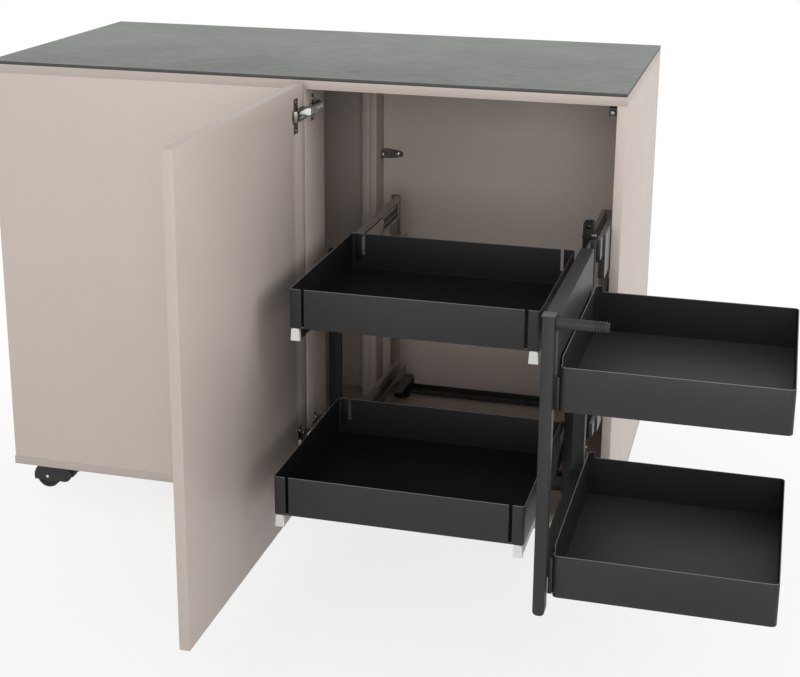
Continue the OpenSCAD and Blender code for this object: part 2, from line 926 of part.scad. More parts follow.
// Flat front posts of the carrier
module carrier_front_posts() {
    color(anthracite) placed() both_sides()
        block([rail_x + rail_t - carrier_post_w, rail_y - front_post_t, carrier_low_z],
            [rail_x + rail_t, rail_y, upper_rail_z + rail_h]);
}

// Rear posts across the ends of the side rails, each with an arm back to the guide rail
module carrier_rear_posts() {
    post_x = rail_x + rail_t - rear_post_w;
    color(steel_colour) placed() both_sides() {
        block([post_x, rail_end_y, arm_z],
            [rail_x + rail_t, rail_end_y + rear_post_t, upper_rail_z + rail_h]);
        block([foot_x, rail_end_y, arm_z], [foot_x + foot_w, slipper_end, carrier_low_z]);
    }
}

// Side rails: a web with a groove along the side that faces the trays
module carrier_side_rails() {
    color(steel_colour) placed() both_sides() for (z = [upper_rail_z, lower_rail_z]) difference() {
        mid_z = z + rail_h / 2;
        block([rail_x, rail_y, z], [rail_x + rail_t, rail_end_y, z + rail_h]);
        block([rail_x + groove_half, rail_y + groove_in, mid_z - groove_half],
            [rail_x + rail_t + past, rail_end_y - groove_in, mid_z + groove_half]);
        for (y = rail_hole_ys)
            x_rod([rail_x - past, y, z + rail_h - rail_hole_drop], rail_hole_r, rail_t + 2 * past);
    }
}

module carrier_cross_bars() {
    x0 = rail_x;
    x1 = 2 * rear_mid_x - rail_x;
    color(anthracite) placed() for (y = [front_bar_y, rear_bar_y]) difference() {
        block([x0, y, carrier_low_z], [x1, y + bar_h, lower_rail_z]);
        block([x0 - past, y + bar_wall, carrier_low_z + bar_wall],
            [x1 + past, y + bar_h - bar_wall, lower_rail_z - bar_wall]);
    }
}

// Feet of the carrier: slippers in the guide rail and over the track, and the pinion's pin
module carrier_feet() {
    slipper_low = floor_z + guide_wall + slide_gap;
    slipper_y = guide_y + guide_wall + slipper_side;
    collar_z = rack_z + rack_h + slide_gap;
    x1 = foot_x + foot_w;
    color(black_plastic) placed() {
        both_sides() {
            block([foot_x, slipper_y, slipper_low], [x1, slipper_end, arm_z]);
            difference() {
                block([foot_x, track_y - foot_side, floor_z + slide_gap],
                    [x1, track_y + track_w + foot_side, lower_rail_z]);
                block([foot_x - past, track_y - slide_gap, floor_z],
                    [x1 + past, track_y + track_w + slide_gap, floor_z + track_h + slide_gap]);
            }
        }
        upright_rod([pinion_x, pinion_y, rack_z], pinion_bore_r - pin_gap, arm_z - rack_z);
        upright_rod([pinion_x, pinion_y, collar_z], pinion_collar_r, arm_z - collar_z);
    }
}

// Channel along the back of the box, from the stile boards to the right wall, open upwards
module rear_guide_rail() {
    color(anthracite) placed() {
        block([guide_x, guide_y, floor_z], [right_x, back_y, floor_z + guide_wall]);
        block([guide_x, guide_y, floor_z],
            [right_x, guide_y + guide_wall, floor_z + guide_h - guide_lip_drop]);
        block([guide_x, back_y - guide_wall, floor_z], [right_x, back_y, floor_z + guide_h]);
    }
}

// Low track on the floor for the front slippers
module front_guide_rail() {
    color(anthracite) placed()
        block([left_x, track_y, floor_z], [right_x, track_y + track_w, floor_z + track_h]);
}

// Rack along the guide rail: a gap between teeth lies opposite the pinion
module toothed_rack() {
    half = pitch_l / 4 - backlash / 2;
    lean = tan(pressure);
    tip = half - gear_m * lean;
    root_y = rack_tip_y + (1 + tooth_foot) * gear_m;
    root = half + tooth_foot * gear_m * lean;
    first = pinion_x - pitch_l / 2 - pitch_l * floor((pinion_x - guide_x - 2 * pitch_l) / pitch_l);
    total = floor((right_x - first - pitch_l) / pitch_l);
    teeth = [for (i = [0:total]) let (x = first + i * pitch_l)
        each [[x - root, root_y], [x - tip, rack_tip_y], [x + tip, rack_tip_y], [x + root, root_y]]];
    color(black_plastic) placed() translate([0, 0, rack_z]) linear_extrude(rack_h)
        polygon(concat([[guide_x, guide_y], [guide_x, root_y]], teeth,
            [[right_x, root_y], [right_x, guide_y]]));
}

// Angle in degrees by which an involute has turned at radius r
function involute_turn(r, base_r) = let (a = acos(base_r / r)) tan(a) * 180 / PI - a;

// Pinion on a vertical shaft, with one tooth pointing at the rack
module carrier_pinion() {
    base_r = pinion_r * cos(pressure);
    tip_r = pinion_r + tooth_top * gear_m;
    root_r = pinion_r - tooth_foot * gear_m;
    half = 90 / pinion_n - backlash / 2 / pinion_r * 180 / PI;
    turn = involute_turn(pinion_r, base_r);
    low_r = max(base_r, root_r + touch);
    radii = [low_r, low_r + (tip_r - low_r) * 0.35, low_r + (tip_r - low_r) * 0.7, tip_r];
    flank = [for (r = radii) [r, half + turn - involute_turn(r, base_r)]];
    outline = [for (i = [0:pinion_n - 1]) let (mid = 90 + i * 360 / pinion_n) each concat(
        [[root_r, mid - flank[0][1] - 0.4]], [for (f = flank) [f[0], mid - f[1]]],
        [for (k = [3:-1:0]) [flank[k][0], mid + flank[k][1]]], [[root_r, mid + flank[0][1] + 0.4]])];
    color(black_plastic) placed() translate([pinion_x, pinion_y, rack_z]) difference() {
        linear_extrude(rack_h) polygon([for (p = outline) p[0] * [cos(p[1]), sin(p[1])]]);
        translate([0, 0, -past]) cylinder(r = pinion_bore_r, h = rack_h + 2 * past);
    }
}

// Plates and stems of the castors
module castor_plates() {
    color(steel_colour) placed() for (x = castor_xs, y = castor_ys) {
        block([x - castor_plate_w / 2, y - castor_plate_w / 2, -castor_plate_t],
            [x + castor_plate_w / 2, y + castor_plate_w / 2, 0]);
        upright_rod([x, y, -stem_l], stem_r, stem_l);
        for (dx = [-plate_screw_in, plate_screw_in], dy = [-plate_screw_in, plate_screw_in])
            upright_rod([x + dx, y + dy, -castor_plate_t - plate_screw_h], pan_r, plate_screw_h);
    }
}

// Housing of one castor: boss, web and a hood over both wheels
module castor_housing(ix, iy) {
    color(black_plastic) placed() translate([castor_xs[ix], castor_ys[iy], 0]) difference() {
        union() {
            upright_rod([0, 0, boss_top_z - boss_h], boss_r, boss_h);
            castor_side(-hood_w / 2, cheek_plate_t, hood_r);
            castor_side(hood_w / 2 - cheek_plate_t, cheek_plate_t, hood_r);
            castor_side(-web_w / 2, web_w, hood_r - past);
            castor_hood();
        }
        upright_rod([0, 0, -stem_l - past], stem_r + pin_gap, castor_h);
        y_rod([-castor_trail, -hood_w, wheel_z], axle_r + pin_gap, 2 * hood_w);
        block([-far, -hood_w, -far], [far, hood_w, wheel_z - skirt]);
        block([-far, -hood_w, boss_top_z], [far, hood_w, far]);
    }
}

// Flat cheek of a castor, from the wheel's cover to the stem
module castor_side(y, t, r) {
    y_rod([-castor_trail, y, wheel_z], r, t);
    block([-castor_trail, y, wheel_z - skirt], [neck_x, y + t, wheel_z + r - dish_in]);
    y_rod([neck_x, y, wheel_z + neck_up], neck_r, t);
}

// Curved cover over the wheels
module castor_hood() {
    difference() {
        y_rod([-castor_trail, -hood_w / 2, wheel_z], hood_r, hood_w);
        y_rod([-castor_trail, -hood_w, wheel_z], hood_r - hood_t, 2 * hood_w);
        block([-far, -hood_w, -far], [far, hood_w, wheel_z + 2 * past]);
    }
}

// Two wheels on one axle
module castor_wheels(ix, iy) {
    color(black_plastic) placed() translate([castor_xs[ix] - castor_trail, castor_ys[iy], wheel_z]) {
        for (side = [0, 1]) mirror([0, side, 0]) translate([0, cheek_plate_t + wheel_side - hood_w / 2, 0])
            difference() {
                y_rod([0, 0, 0], wheel_r, wheel_face);
                y_rod([0, -past, 0], wheel_r - dish_in, dish_depth + past);
            }
        y_rod([0, past - hood_w / 2, 0], axle_r, hood_w - 2 * past);
    }
}

module front_left_castor_housing() {
    castor_housing(0, 0);
}

module front_right_castor_housing() {
    castor_housing(1, 0);
}

module rear_left_castor_housing() {
    castor_housing(0, 1);
}

module rear_right_castor_housing() {
    castor_housing(1, 1);
}

module front_left_castor_wheels() {
    castor_wheels(0, 0);
}

module front_right_castor_wheels() {
    castor_wheels(1, 0);
}

module rear_left_castor_wheels() {
    castor_wheels(0, 1);
}

module rear_right_castor_wheels() {
    castor_wheels(1, 1);
}

// Door as photographed, open at a right angle, with pockets for its hinges
module door_panel() {
    color(board_colour) placed() difference() {
        block([door_face_x - door_t, -door_gap - door_w, door_z], [door_face_x, -door_gap, door_z + door_h]);
        for (z = hinge_zs) {
            x_rod([door_face_x - cup_depth, cup_y, z], cup_r, door_t);
            block([axis_x - notch_in, cup_y, z - notch_half], [door_face_x + past, past, z + notch_half]);
        }
    }
}

// Hinge cups in the door, with wing plates, two cheeks to the pin and screw heads
module hinge_cups() {
    cheek_z = hinge_half + slide_gap;
    cheek_x = door_face_x + cheek_h;
    out_z = cheek_z + cheek_t;
    screw_z = wing_half - wing_screw_in;
    color(steel_colour) placed() for (z = hinge_zs) translate([0, 0, z]) difference() {
        union() {
            x_rod([door_face_x - cup_depth, cup_y, 0], cup_r, cup_depth);
            block([door_face_x, cup_y - wing_d / 2, -wing_half],
                [door_face_x + wing_t, cup_y + wing_d / 2, wing_half]);
            block([door_face_x, cup_y - bridge_front, -out_z], [cheek_x, cup_y + cheek_half, out_z]);
            for (dz = [-screw_z, screw_z]) x_rod([door_face_x, cup_y, dz], pan_r, wing_screw_h);
            for (dz = [cheek_z, -out_z]) {
                block([door_face_x, cup_y, dz], [cheek_x, axis_y - cheek_step, dz + cheek_t]);
                block([axis_x - cheek_half, axis_y - cheek_step - past, dz],
                    [cheek_x, axis_y + cheek_back, dz + cheek_t]);
            }
        }
        upright_rod([axis_x, axis_y, -wing_half], hinge_pin_r + pin_gap, 2 * wing_half);
    }
}

worktop();
top_panel();
bottom_panel();
left_side_panel();
right_side_panel();
back_panel();
rear_stile_boards();
blind_front_panel();
hinge_post();
carcass_screws();
hinge_mounting_plates();
hinge_arms();
hinge_pins();
corner_bracket();
push_latch_body();
wall_clip();
wall_rails();
rear_guide_rail();
toothed_rack();
front_guide_rail();
castor_plates();
door_panel();
hinge_cups();
latch_plunger();
front_left_castor_housing();
front_right_castor_housing();
rear_left_castor_housing();
rear_right_castor_housing();
front_left_castor_wheels();
front_right_castor_wheels();
rear_left_castor_wheels();
rear_right_castor_wheels();
carrier_front_posts();
carrier_rear_posts();
carrier_side_rails();
carrier_cross_bars();
carrier_feet();
runner_brackets();
outer_runners();
carrier_pinion();
upper_rear_tray();
upper_inner_runners();
upper_runner_caps();
upper_middle_runners();
lower_rear_tray();
lower_inner_runners();
lower_runner_caps();
lower_middle_runners();
wall_middle_rails();
carriage_rails();
carriage_upright();
swing_pins();
frame_front_post();
frame_rear_post();
frame_top_bar();
frame_bottom_bar();
handle_rod();
tray_hooks();
upper_front_tray();
lower_front_tray();
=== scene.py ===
"""Outdoor kitchen corner cabinet with its door and trays drawn out: looks, light and camera."""
import json
import math

import bmesh
import bpy
from mathutils import Matrix, Vector


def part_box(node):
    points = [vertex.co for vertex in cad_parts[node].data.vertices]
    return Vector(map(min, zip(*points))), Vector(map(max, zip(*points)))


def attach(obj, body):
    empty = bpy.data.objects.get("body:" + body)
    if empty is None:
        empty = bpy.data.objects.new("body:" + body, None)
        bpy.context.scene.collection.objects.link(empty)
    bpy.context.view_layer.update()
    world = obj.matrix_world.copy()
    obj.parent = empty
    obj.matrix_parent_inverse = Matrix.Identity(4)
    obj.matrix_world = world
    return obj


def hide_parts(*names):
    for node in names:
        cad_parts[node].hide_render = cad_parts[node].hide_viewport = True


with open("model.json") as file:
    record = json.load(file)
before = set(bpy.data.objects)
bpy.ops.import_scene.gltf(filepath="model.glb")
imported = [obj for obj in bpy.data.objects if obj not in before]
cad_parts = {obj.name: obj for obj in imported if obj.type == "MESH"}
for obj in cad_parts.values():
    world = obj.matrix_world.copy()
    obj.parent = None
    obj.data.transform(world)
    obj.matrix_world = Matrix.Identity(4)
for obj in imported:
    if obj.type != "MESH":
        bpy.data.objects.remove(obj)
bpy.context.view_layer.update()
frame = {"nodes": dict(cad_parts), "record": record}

MM = 0.001

# The camera that fits the photograph, in the cabinet's frame
PHOTO_WIDTH = 800
SENSOR_WIDTH = 36
CAMERA_PLACE = Vector((0.717, -2.4995, 1.3397))
CAMERA_YAW = 0.2594
CAMERA_PITCH = 0.2784
CAMERA_ROLL = 0.0074
CAMERA_FOCUS_PX = 1495.1
CAMERA_SHIFT = -0.12

# Light: for each lamp its place, the point that it faces, its side in metres and its power in watts
LAMPS = {
    "key_light": ((-1.2, -3.4, 3.0), (0.1, -0.1, 0.4), 2.6, 40),
    "side_light": ((2.6, -0.2, 1.6), (0.4, 0.0, 0.45), 1.4, 20),
    "front_light": ((0.9, -4.0, 1.3), (0.15, 0.3, 0.45), 1.6, 36),
}
WHITE_LIGHT = (1.0, 1.0, 1.0, 1.0)
WORLD_STRENGTH = 0.58
SEEN_STRENGTH = 1.0

# Floor: its reach in metres, its surface, and the glow that whitens it away from the cabinet
FLOOR_REACH = 30
FLOOR_GREY = (0.74, 0.74, 0.74, 1.0)
FLOOR_ROUGHNESS = 0.9
FLOOR_GLOSS = 0.1
GLOW_NEAR = 0.45
GLOW_FAR = 1.4
GLOW_LEAST = 0.8

# Colours that match the photograph in the render, 0 to 255
FULL = 255
TAUPE = (203, 190, 181)
TAUPE_EDGE = (188, 176, 168)
STONE = (112, 115, 112)
STONE_EDGE = (60, 63, 61)
ANTHRACITE = (50, 50, 51)
# Painted shade: the rear trays' inside walls, floor and corner tabs are darker than their outside
TRAY_INNER_SHADE = (20, 20, 21)
# Painted shade: the front trays' inside walls are darker than their outside
FRONT_TRAY_INNER_SHADE = (30, 30, 31)
# Painted highlight: the trays' rounded rims are lighter than their walls
TRAY_RIM_HIGHLIGHT = (112, 112, 114)
CARRIER_POST = (24, 25, 24)
PLUG = (92, 92, 94)
DARK_RAIL = (44, 43, 42)
RACK_TEETH = (72, 69, 65)
REAR_POST = (112, 100, 94)
# Painted shade: the back of the side rails' channel is dark as the shade in its recess
RAIL_CHANNEL_SHADE = (62, 66, 72)
WALL_RAIL = (128, 128, 128)
UPRIGHT = (30, 29, 28)
RAIL_END = (58, 57, 56)
BLACK = (24, 24, 25)
WHITE = (232, 232, 226)
ZINC = (136, 134, 130)
PLATE_ZINC = (122, 118, 112)
CHROME = (232, 232, 228)
ALUMINIUM = (186, 176, 170)
SLIDE = (214, 212, 209)

# The curve between screen values and light
CURVE_FOOT = 0.04045
CURVE_SLOPE = 12.92
CURVE_OFFSET = 0.055
CURVE_POWER = 2.4

# Stretch of a noise that draws its grains out along an axis
LINES_ALONG_X = (1.0, 40.0, 40.0)
LINES_ALONG_Y = (40.0, 1.0, 40.0)
LINES_ALONG_Z = (40.0, 40.0, 1.0)
STREAKS_ALONG_X = (1.0, 3.2, 3.2)
GRAINS_ALONG_X = (0.5, 1.0, 1.0)

# A face looks along an axis if that share of its normal is over FACING, and squarely over SQUARE_ON
FACING = 0.7
SQUARE_ON = 0.9

# Angles in degrees between two faces: over these an edge is rounded, over SHARP_ANGLE it stays
# sharp in smooth shading, and under FLAT_ANGLE the two are one face
EDGE_ANGLE = 30
CORNER_ANGLE = 50
BRACKET_ANGLE = 40
SHARP_ANGLE = 35
FLAT_ANGLE = 0.5

# Distances at which points count as one, and the radius of a turned shape's end that is a point
CAD_MERGE = 0.005 * MM
TRAY_MERGE = 0.002 * MM
POINT_RADIUS = 1e-7

# A face belongs to an edge band if its middle lies this near to the board's end
BAND_REACH = 1 * MM

# Rounding of edges: the bevel's profile that makes an arc, and the width for each kind of piece
ROUND_PROFILE = 0.5
BOARD_ROUND = 0.8 * MM
WORKTOP_ROUND = 0.6 * MM
SHEET_ROUND = 0.4 * MM
CAP_ROUND = 0.6 * MM
TAB_ROUND = 0.5 * MM
CAGE_ROUND = 0.5 * MM
PLUG_ROUND = 0.7 * MM
POST_ROUND = 0.8 * MM
UPRIGHT_ROUND = 1.0 * MM
RACK_ROUND = 0.2 * MM
HINGE_PLATE_ROUND = 0.5 * MM
HINGE_ARM_ROUND = 0.7 * MM
HINGE_CUP_ROUND = 0.4 * MM
HOUSING_ROUND = 0.8 * MM
TREAD_ROUND = 1.6 * MM

# Trays: sheet, corner radii seen from above, the rear trays' slots and the front trays' side wall
SHEET = 1.5 * MM
TRAY_FOOT_R = 1.6 * MM
TRAY_FOOT_ANGLES = (30, 60, 90)
TRAY_RIM_ANGLES = (0, 45, 90, 135, 180)
TRAY_INNER_FOOT = 0.8 * MM
TRAY_CORNER_STEPS = 8
REAR_TRAY_R = 6 * MM
FRONT_TRAY_R = 8 * MM
SLOT_WIDTH = 6 * MM
SLOT_INSET = 20 * MM
SLOT_SHARE = 0.58
SLOT_FOOT = 3.6 * MM
CORNER_TAB = 51 * MM
CORNER_TAB_T = 1.2 * MM
SIDE_STRIP = 12 * MM
NOTCH_WIDTH = 6 * MM
NOTCH_DEPTH = 22 * MM
FRONT_TRAY_WALL = 69 * MM
# Faces of a tray by look: outside, inside with painted shade, rim with a painted highlight, floor
TRAY_OUTSIDE, TRAY_INSIDE_SHADE, TRAY_TOP_HIGHLIGHT, TRAY_FLOOR = range(4)

# White caps at the front ends of the runners
CAP_WIDTH = 16 * MM
CAP_SHOULDER = 3.2 * MM
CAP_TAPER = 1.0 * MM
CAP_STEPS = 6

# Side rails of the rear carrier: their section, and the holes in their band
RAIL_T = 8 * MM
RAIL_H = 48 * MM
RAIL_LIP = 5 * MM
RAIL_BAND = 12 * MM
RAIL_WEB = 3 * MM
CHANNEL_TOP = RAIL_H - RAIL_BAND
WEB_REACH = 0.2 * MM
HOLE_PLACES = (212 * MM, 352 * MM)
HOLE_DROP = 7 * MM
HOLE_R = 2.4 * MM
HOLE_REACH = 4 * RAIL_T
HOLE_STEPS = 16

# Slides in the rails: lengths, gaps to the rail, and the slots near their round ends
UPPER_SLIDE = 294 * MM
LOWER_SLIDE = 386 * MM
SLIDE_START = 1 * MM
SLIDE_GAP = 4.5 * MM
SLIDE_LIFT = 0.4 * MM
SLIDE_INSET = 1.4 * MM
SLIDE_STEPS = 16
SLIDE_SLOTS = (9 * MM, -1 * MM)
SLIDE_SLOT_HALF = Vector((RAIL_T - RAIL_WEB, 1.3 * MM, 4.5 * MM))

# Ball cages behind the slides: from the slide to the rail's end, one above the other
CAGE_T = 2 * MM
CAGE_START = 6 * MM
CAGE_END = 14 * MM
CAGE_LIFT = 6 * MM
CAGE_DROP = 5 * MM
CAGE_THIN = 1.6 * MM
CAGE_TALL = 4 * MM

# Plug in the top of the front post
PLUG_OVERHANG = 1.2 * MM
PLUG_INSET = 0.6 * MM
PLUG_SINK = 1.6 * MM
PLUG_STAND = 0.8 * MM

# Handle rod: its ends and the grooves of its grip, with radii as shares of the rod's
HANDLE_STEPS = 48
HANDLE_CHAMFER = 0.6 * MM
HANDLE_FACE = 0.9
GRIP_LENGTH = 20 * MM
GRIP_PITCH = 4 * MM
GRIP_GROOVES = 4
GROOVE = 0.86
GROOVE_START = 0.4 * MM
GROOVE_END = 1.4 * MM
GROOVE_RIDGE = 1.8 * MM
NECK = 0.88
NECK_START = 3.4 * MM
NECK_END = 0.6 * MM
HANDLE_TIP = 0.8
TIP_SLOT_REACH = 1.2
TIP_SLOT_HALF = 0.9 * MM
TIP_SLOT_DEPTH = 2 * MM

# Corner bracket: its sheet, the straight part of its long leg, its round tips and its screws
BRACKET_SHEET = 2 * MM
BRACKET_STRAIGHT = 12 * MM
BRACKET_TIP_R = 7 * MM
BRACKET_TIP_ANGLE = 80
BRACKET_TIP_STEPS = 10
BRACKET_END_R = 5 * MM
BRACKET_END_ANGLES = (130, 230)
BRACKET_END_STEPS = 8
BRACKET_SCREW_BACK = 12 * MM
BRACKET_SIDE_SCREW = 9 * MM

# Screw heads: their outline and cross recess are shares of their radius and height
HEAD_R = 4.2 * MM
HEAD_H = 2.4 * MM
HEAD_STEPS = 24
PAN_HEAD = ((0, 0), (1, 0), (1, 0.45), (0.92, 0.75), (0.7, 0.95), (0.4, 1), (0, 1))
RECESS_REACH = 0.62
RECESS_HALF = 0.16
RECESS_DEPTH = 0.5

# Rivets on the castors' axles, in millimetres
RIVET = ((0, 0), (3.4, 0), (3.2, 0.7), (2, 1.2), (0, 1.3))
RIVET_SINK = 0.2 * MM

# Nodes that are shown as their own solids with rounded edges, and the rounding in millimetres
PLAIN_COPIES = {
    "push_latch_body": 0.8, "latch_plunger": 0.6, "wall_clip": 0.4, "swing_pins": 0.5,
    "frame_front_post": 1.2, "frame_rear_post": 1.0, "frame_top_bar": 0.8, "frame_bottom_bar": 1.2,
    "tray_hooks": 1.2, "carrier_cross_bars": 0.5, "carrier_feet": 0.8, "runner_brackets": 0.4,
    "outer_runners": 0.3, "upper_inner_runners": 0.3, "lower_inner_runners": 0.3,
    "upper_middle_runners": 0.5, "lower_middle_runners": 0.5, "rear_guide_rail": 0.4,
    "front_guide_rail": 1.0, "castor_plates": 0.5, "carrier_pinion": 0.2, "hinge_pins": 0.3,
    "carcass_screws": 0.3,
}


def linear(colour):
    """Turns a screen colour, 0 to 255, into the linear values that shaders take."""
    values = []
    for channel in colour:
        c = channel / FULL
        if c <= CURVE_FOOT:
            values.append(c / CURVE_SLOPE)
        else:
            values.append(((c + CURVE_OFFSET) / (1 + CURVE_OFFSET)) ** CURVE_POWER)
    return (*values, 1.0)


def shade(colour, factor):
    """A colour made darker or lighter by a factor."""
    return tuple(min(FULL, channel * factor) for channel in colour)


class Shader:
    """A material with a few short calls for its nodes."""

    # Sockets of a Mix node that mixes colours
    MIX_FACTOR, MIX_A, MIX_B, MIX_RESULT = 0, 6, 7, 2

    def __init__(self, name, roughness, metallic=0.0):
        self.material = bpy.data.materials.new(name)
        self.material.use_nodes = True
        self.tree = self.material.node_tree
        self.surface = self.tree.nodes["Principled BSDF"]
        self.surface.inputs["Roughness"].default_value = roughness
        self.surface.inputs["Metallic"].default_value = metallic
        self.place = self.add("ShaderNodeTexCoord").outputs["Object"]

    def add(self, kind, **values):
        """A new node, with values for its inputs or its settings."""
        node = self.tree.nodes.new(kind)
        for key, value in values.items():
            if key in node.inputs:
                node.inputs[key].default_value = value
            else:
                setattr(node, key, value)
        return node

    def link(self, source, target):
        self.tree.links.new(source, target)

    def stretch(self, scale):
        """The object's own place, stretched by a factor along each axis."""
        node = self.add("ShaderNodeMapping", Scale=scale)
        self.link(self.place, node.inputs["Vector"])
        return node.outputs["Vector"]

    def noise(self, scale, detail, vector=None, rough=0.5):
        node = self.add("ShaderNodeTexNoise", Scale=scale, Detail=detail, Roughness=rough)
        self.link(vector or self.place, node.inputs["Vector"])
        return node.outputs["Fac"]

    def tones(self, value, colour, dark, light, start=0.3, end=0.7):
        """A colour that runs from a darker to a lighter tone as a value goes from start to end."""
        node = self.add("ShaderNodeValToRGB")
        points = node.color_ramp.elements
        points[0].position, points[0].color = start, linear(shade(colour, dark))
        points[1].position, points[1].color = end, linear(shade(colour, light))
        self.link(value, node.inputs["Fac"])
        return node.outputs["Color"]

    def mix(self, a, b, share):
        """Colour a with a share of colour b: a number, or another node's value."""
        node = self.add("ShaderNodeMix", data_type="RGBA")
        if isinstance(share, bpy.types.NodeSocket):
            self.link(share, node.inputs[self.MIX_FACTOR])
        else:
            node.inputs[self.MIX_FACTOR].default_value = share
        self.link(a, node.inputs[self.MIX_A])
        self.link(b, node.inputs[self.MIX_B])
        return node.outputs[self.MIX_RESULT]

    def colour(self, value):
        self.link(value, self.surface.inputs["Base Color"])

    def roughness(self, value, low, high):
        """Makes the surface's roughness run from low to high with a value."""
        node = self.add("ShaderNodeMapRange")
        node.inputs["To Min"].default_value = low
        node.inputs["To Max"].default_value = high
        self.link(value, node.inputs["Value"])
        self.link(node.outputs["Result"], self.surface.inputs["Roughness"])

    def bump(self, value, strength, distance):
        node = self.add("ShaderNodeBump", Strength=strength, Distance=distance)
        self.link(value, node.inputs["Height"])
        self.link(node.outputs["Normal"], self.surface.inputs["Normal"])

    def gloss(self, level):
        """Sets how much the surface reflects."""
        self.surface.inputs["Specular IOR Level"].default_value = level

    def up_mask(self):
        """1 on faces that look straight up, 0 on the others."""
        split = self.add("ShaderNodeSeparateXYZ")
        self.link(self.add("ShaderNodeNewGeometry").outputs["Normal"], split.inputs["Vector"])
        node = self.add("ShaderNodeMath", operation="GREATER_THAN")
        node.inputs[1].default_value = FACING
        self.link(split.outputs["Z"], node.inputs[0])
        return node.outputs["Value"]


def laminate(name, colour):
    """Matt laminate: a soft cloudiness, a fine pore pattern and a slight tooth."""
    s = Shader(name, roughness=0.46)
    clouds = s.noise(scale=2.2, detail=4.0)
    pores = s.noise(scale=520, detail=2.0)
    ground = s.tones(clouds, colour, dark=0.975, light=1.02)
    fine = s.tones(pores, colour, dark=0.965, light=1.025, start=0.35, end=0.65)
    s.colour(s.mix(ground, fine, share=0.45))
    s.roughness(s.noise(scale=14, detail=3.0), low=0.40, high=0.54)
    s.bump(pores, strength=0.06, distance=0.2 * MM)
    return s.material


def stone_slab():
    """Thin slab with a stone look: short fine streaks along its length over a cloudy ground."""
    s = Shader("worktop_stone", roughness=0.5)
    streaks = s.noise(scale=26, detail=9.0, vector=s.stretch(STREAKS_ALONG_X), rough=0.7)
    clouds = s.noise(scale=6, detail=8.0, rough=0.66)
    grains = s.noise(scale=520, detail=3.0, vector=s.stretch(GRAINS_ALONG_X))
    light = s.tones(streaks, STONE, dark=0.66, light=1.34, start=0.34, end=0.68)
    ground = s.tones(clouds, STONE, dark=0.74, light=1.24, start=0.32, end=0.68)
    fine = s.tones(grains, STONE, dark=0.78, light=1.22)
    face = s.mix(s.mix(light, ground, share=0.5), fine, share=0.25)
    edge = s.tones(grains, STONE_EDGE, dark=0.85, light=1.12)
    s.colour(s.mix(edge, face, share=s.up_mask()))
    s.roughness(streaks, low=0.42, high=0.62)
    s.bump(grains, strength=0.10, distance=0.3 * MM)
    return s.material


def powder_coat(name, colour, roughness, gloss=0.2):
    """Powder coat on steel: fine orange peel with tiny lighter grains."""
    s = Shader(name, roughness=roughness)
    s.gloss(gloss)
    peel = s.noise(scale=900, detail=2.0)
    clouds = s.noise(scale=5, detail=3.0)
    ground = s.tones(clouds, colour, dark=0.93, light=1.05)
    grain = s.tones(peel, colour, dark=0.88, light=1.16, start=0.35, end=0.72)
    s.colour(s.mix(ground, grain, share=0.4))
    s.roughness(peel, low=roughness - 0.05, high=roughness + 0.12)
    s.bump(peel, strength=0.16, distance=0.25 * MM)
    return s.material


def bare_metal(name, colour, roughness, along=LINES_ALONG_X, metallic=1.0):
    """Metal with faint draw lines along one axis and a little staining."""
    s = Shader(name, roughness=roughness, metallic=metallic)
    lines = s.noise(scale=60, detail=4.0, vector=s.stretch(along))
    stain = s.noise(scale=18, detail=3.0)
    ground = s.tones(stain, colour, dark=0.86, light=1.05)
    drawn = s.tones(lines, colour, dark=0.84, light=1.08)
    s.colour(s.mix(ground, drawn, share=0.5))
    s.roughness(lines, low=roughness - 0.08, high=roughness + 0.12)
    s.bump(lines, strength=0.08, distance=0.1 * MM)
    return s.material


def moulded(name, colour, roughness):
    """Moulded plastic with a fine spark texture."""
    s = Shader(name, roughness=roughness)
    grain = s.noise(scale=1100, detail=2.0)
    clouds = s.noise(scale=12, detail=3.0)
    ground = s.tones(clouds, colour, dark=0.92, light=1.06)
    fine = s.tones(grain, colour, dark=0.85, light=1.15)
    s.colour(s.mix(ground, fine, share=0.35))
    s.roughness(grain, low=roughness - 0.06, high=roughness + 0.12)
    s.bump(grain, strength=0.14, distance=0.15 * MM)
    return s.material


# Looks of the record's material slots
LOOKS = {
    "worktop_stone": stone_slab(),
    "taupe_board": laminate("taupe_board", TAUPE),
    "zinc_steel": bare_metal("zinc_steel", ZINC, roughness=0.30),
    "black_plastic": moulded("black_plastic", BLACK, roughness=0.5),
    "castor_tread": moulded("castor_tread", BLACK, roughness=0.62),
    "anthracite_steel": powder_coat("anthracite_steel", ANTHRACITE, roughness=0.42),
    "dark_rail": powder_coat("dark_rail", DARK_RAIL, roughness=0.4),
    "rail_aluminium": bare_metal("rail_aluminium", ALUMINIUM, 0.38, LINES_ALONG_Y, metallic=0.4),
    "white_plastic": moulded("white_plastic", WHITE, roughness=0.4),
}

# Looks of single pieces and faces
EDGE_LOOK = laminate("taupe_edge", TAUPE_EDGE)
# Painted shade: the rear trays' inside walls, floor and corner tabs
INNER_SHADE_LOOK = powder_coat("tray_inner_shade", TRAY_INNER_SHADE, roughness=0.5)
# Painted shade: the front trays' inside walls
FRONT_INNER_SHADE_LOOK = powder_coat("front_tray_inner_shade", FRONT_TRAY_INNER_SHADE, roughness=0.5, gloss=0.1)
# Painted highlight: the trays' rims
RIM_HIGHLIGHT_LOOK = powder_coat("tray_rim_highlight", TRAY_RIM_HIGHLIGHT, roughness=0.4)
CARRIER_POST_LOOK = powder_coat("carrier_post", CARRIER_POST, roughness=0.5)
REAR_POST_LOOK = bare_metal("rear_post", REAR_POST, 0.45, LINES_ALONG_Z, metallic=0.3)
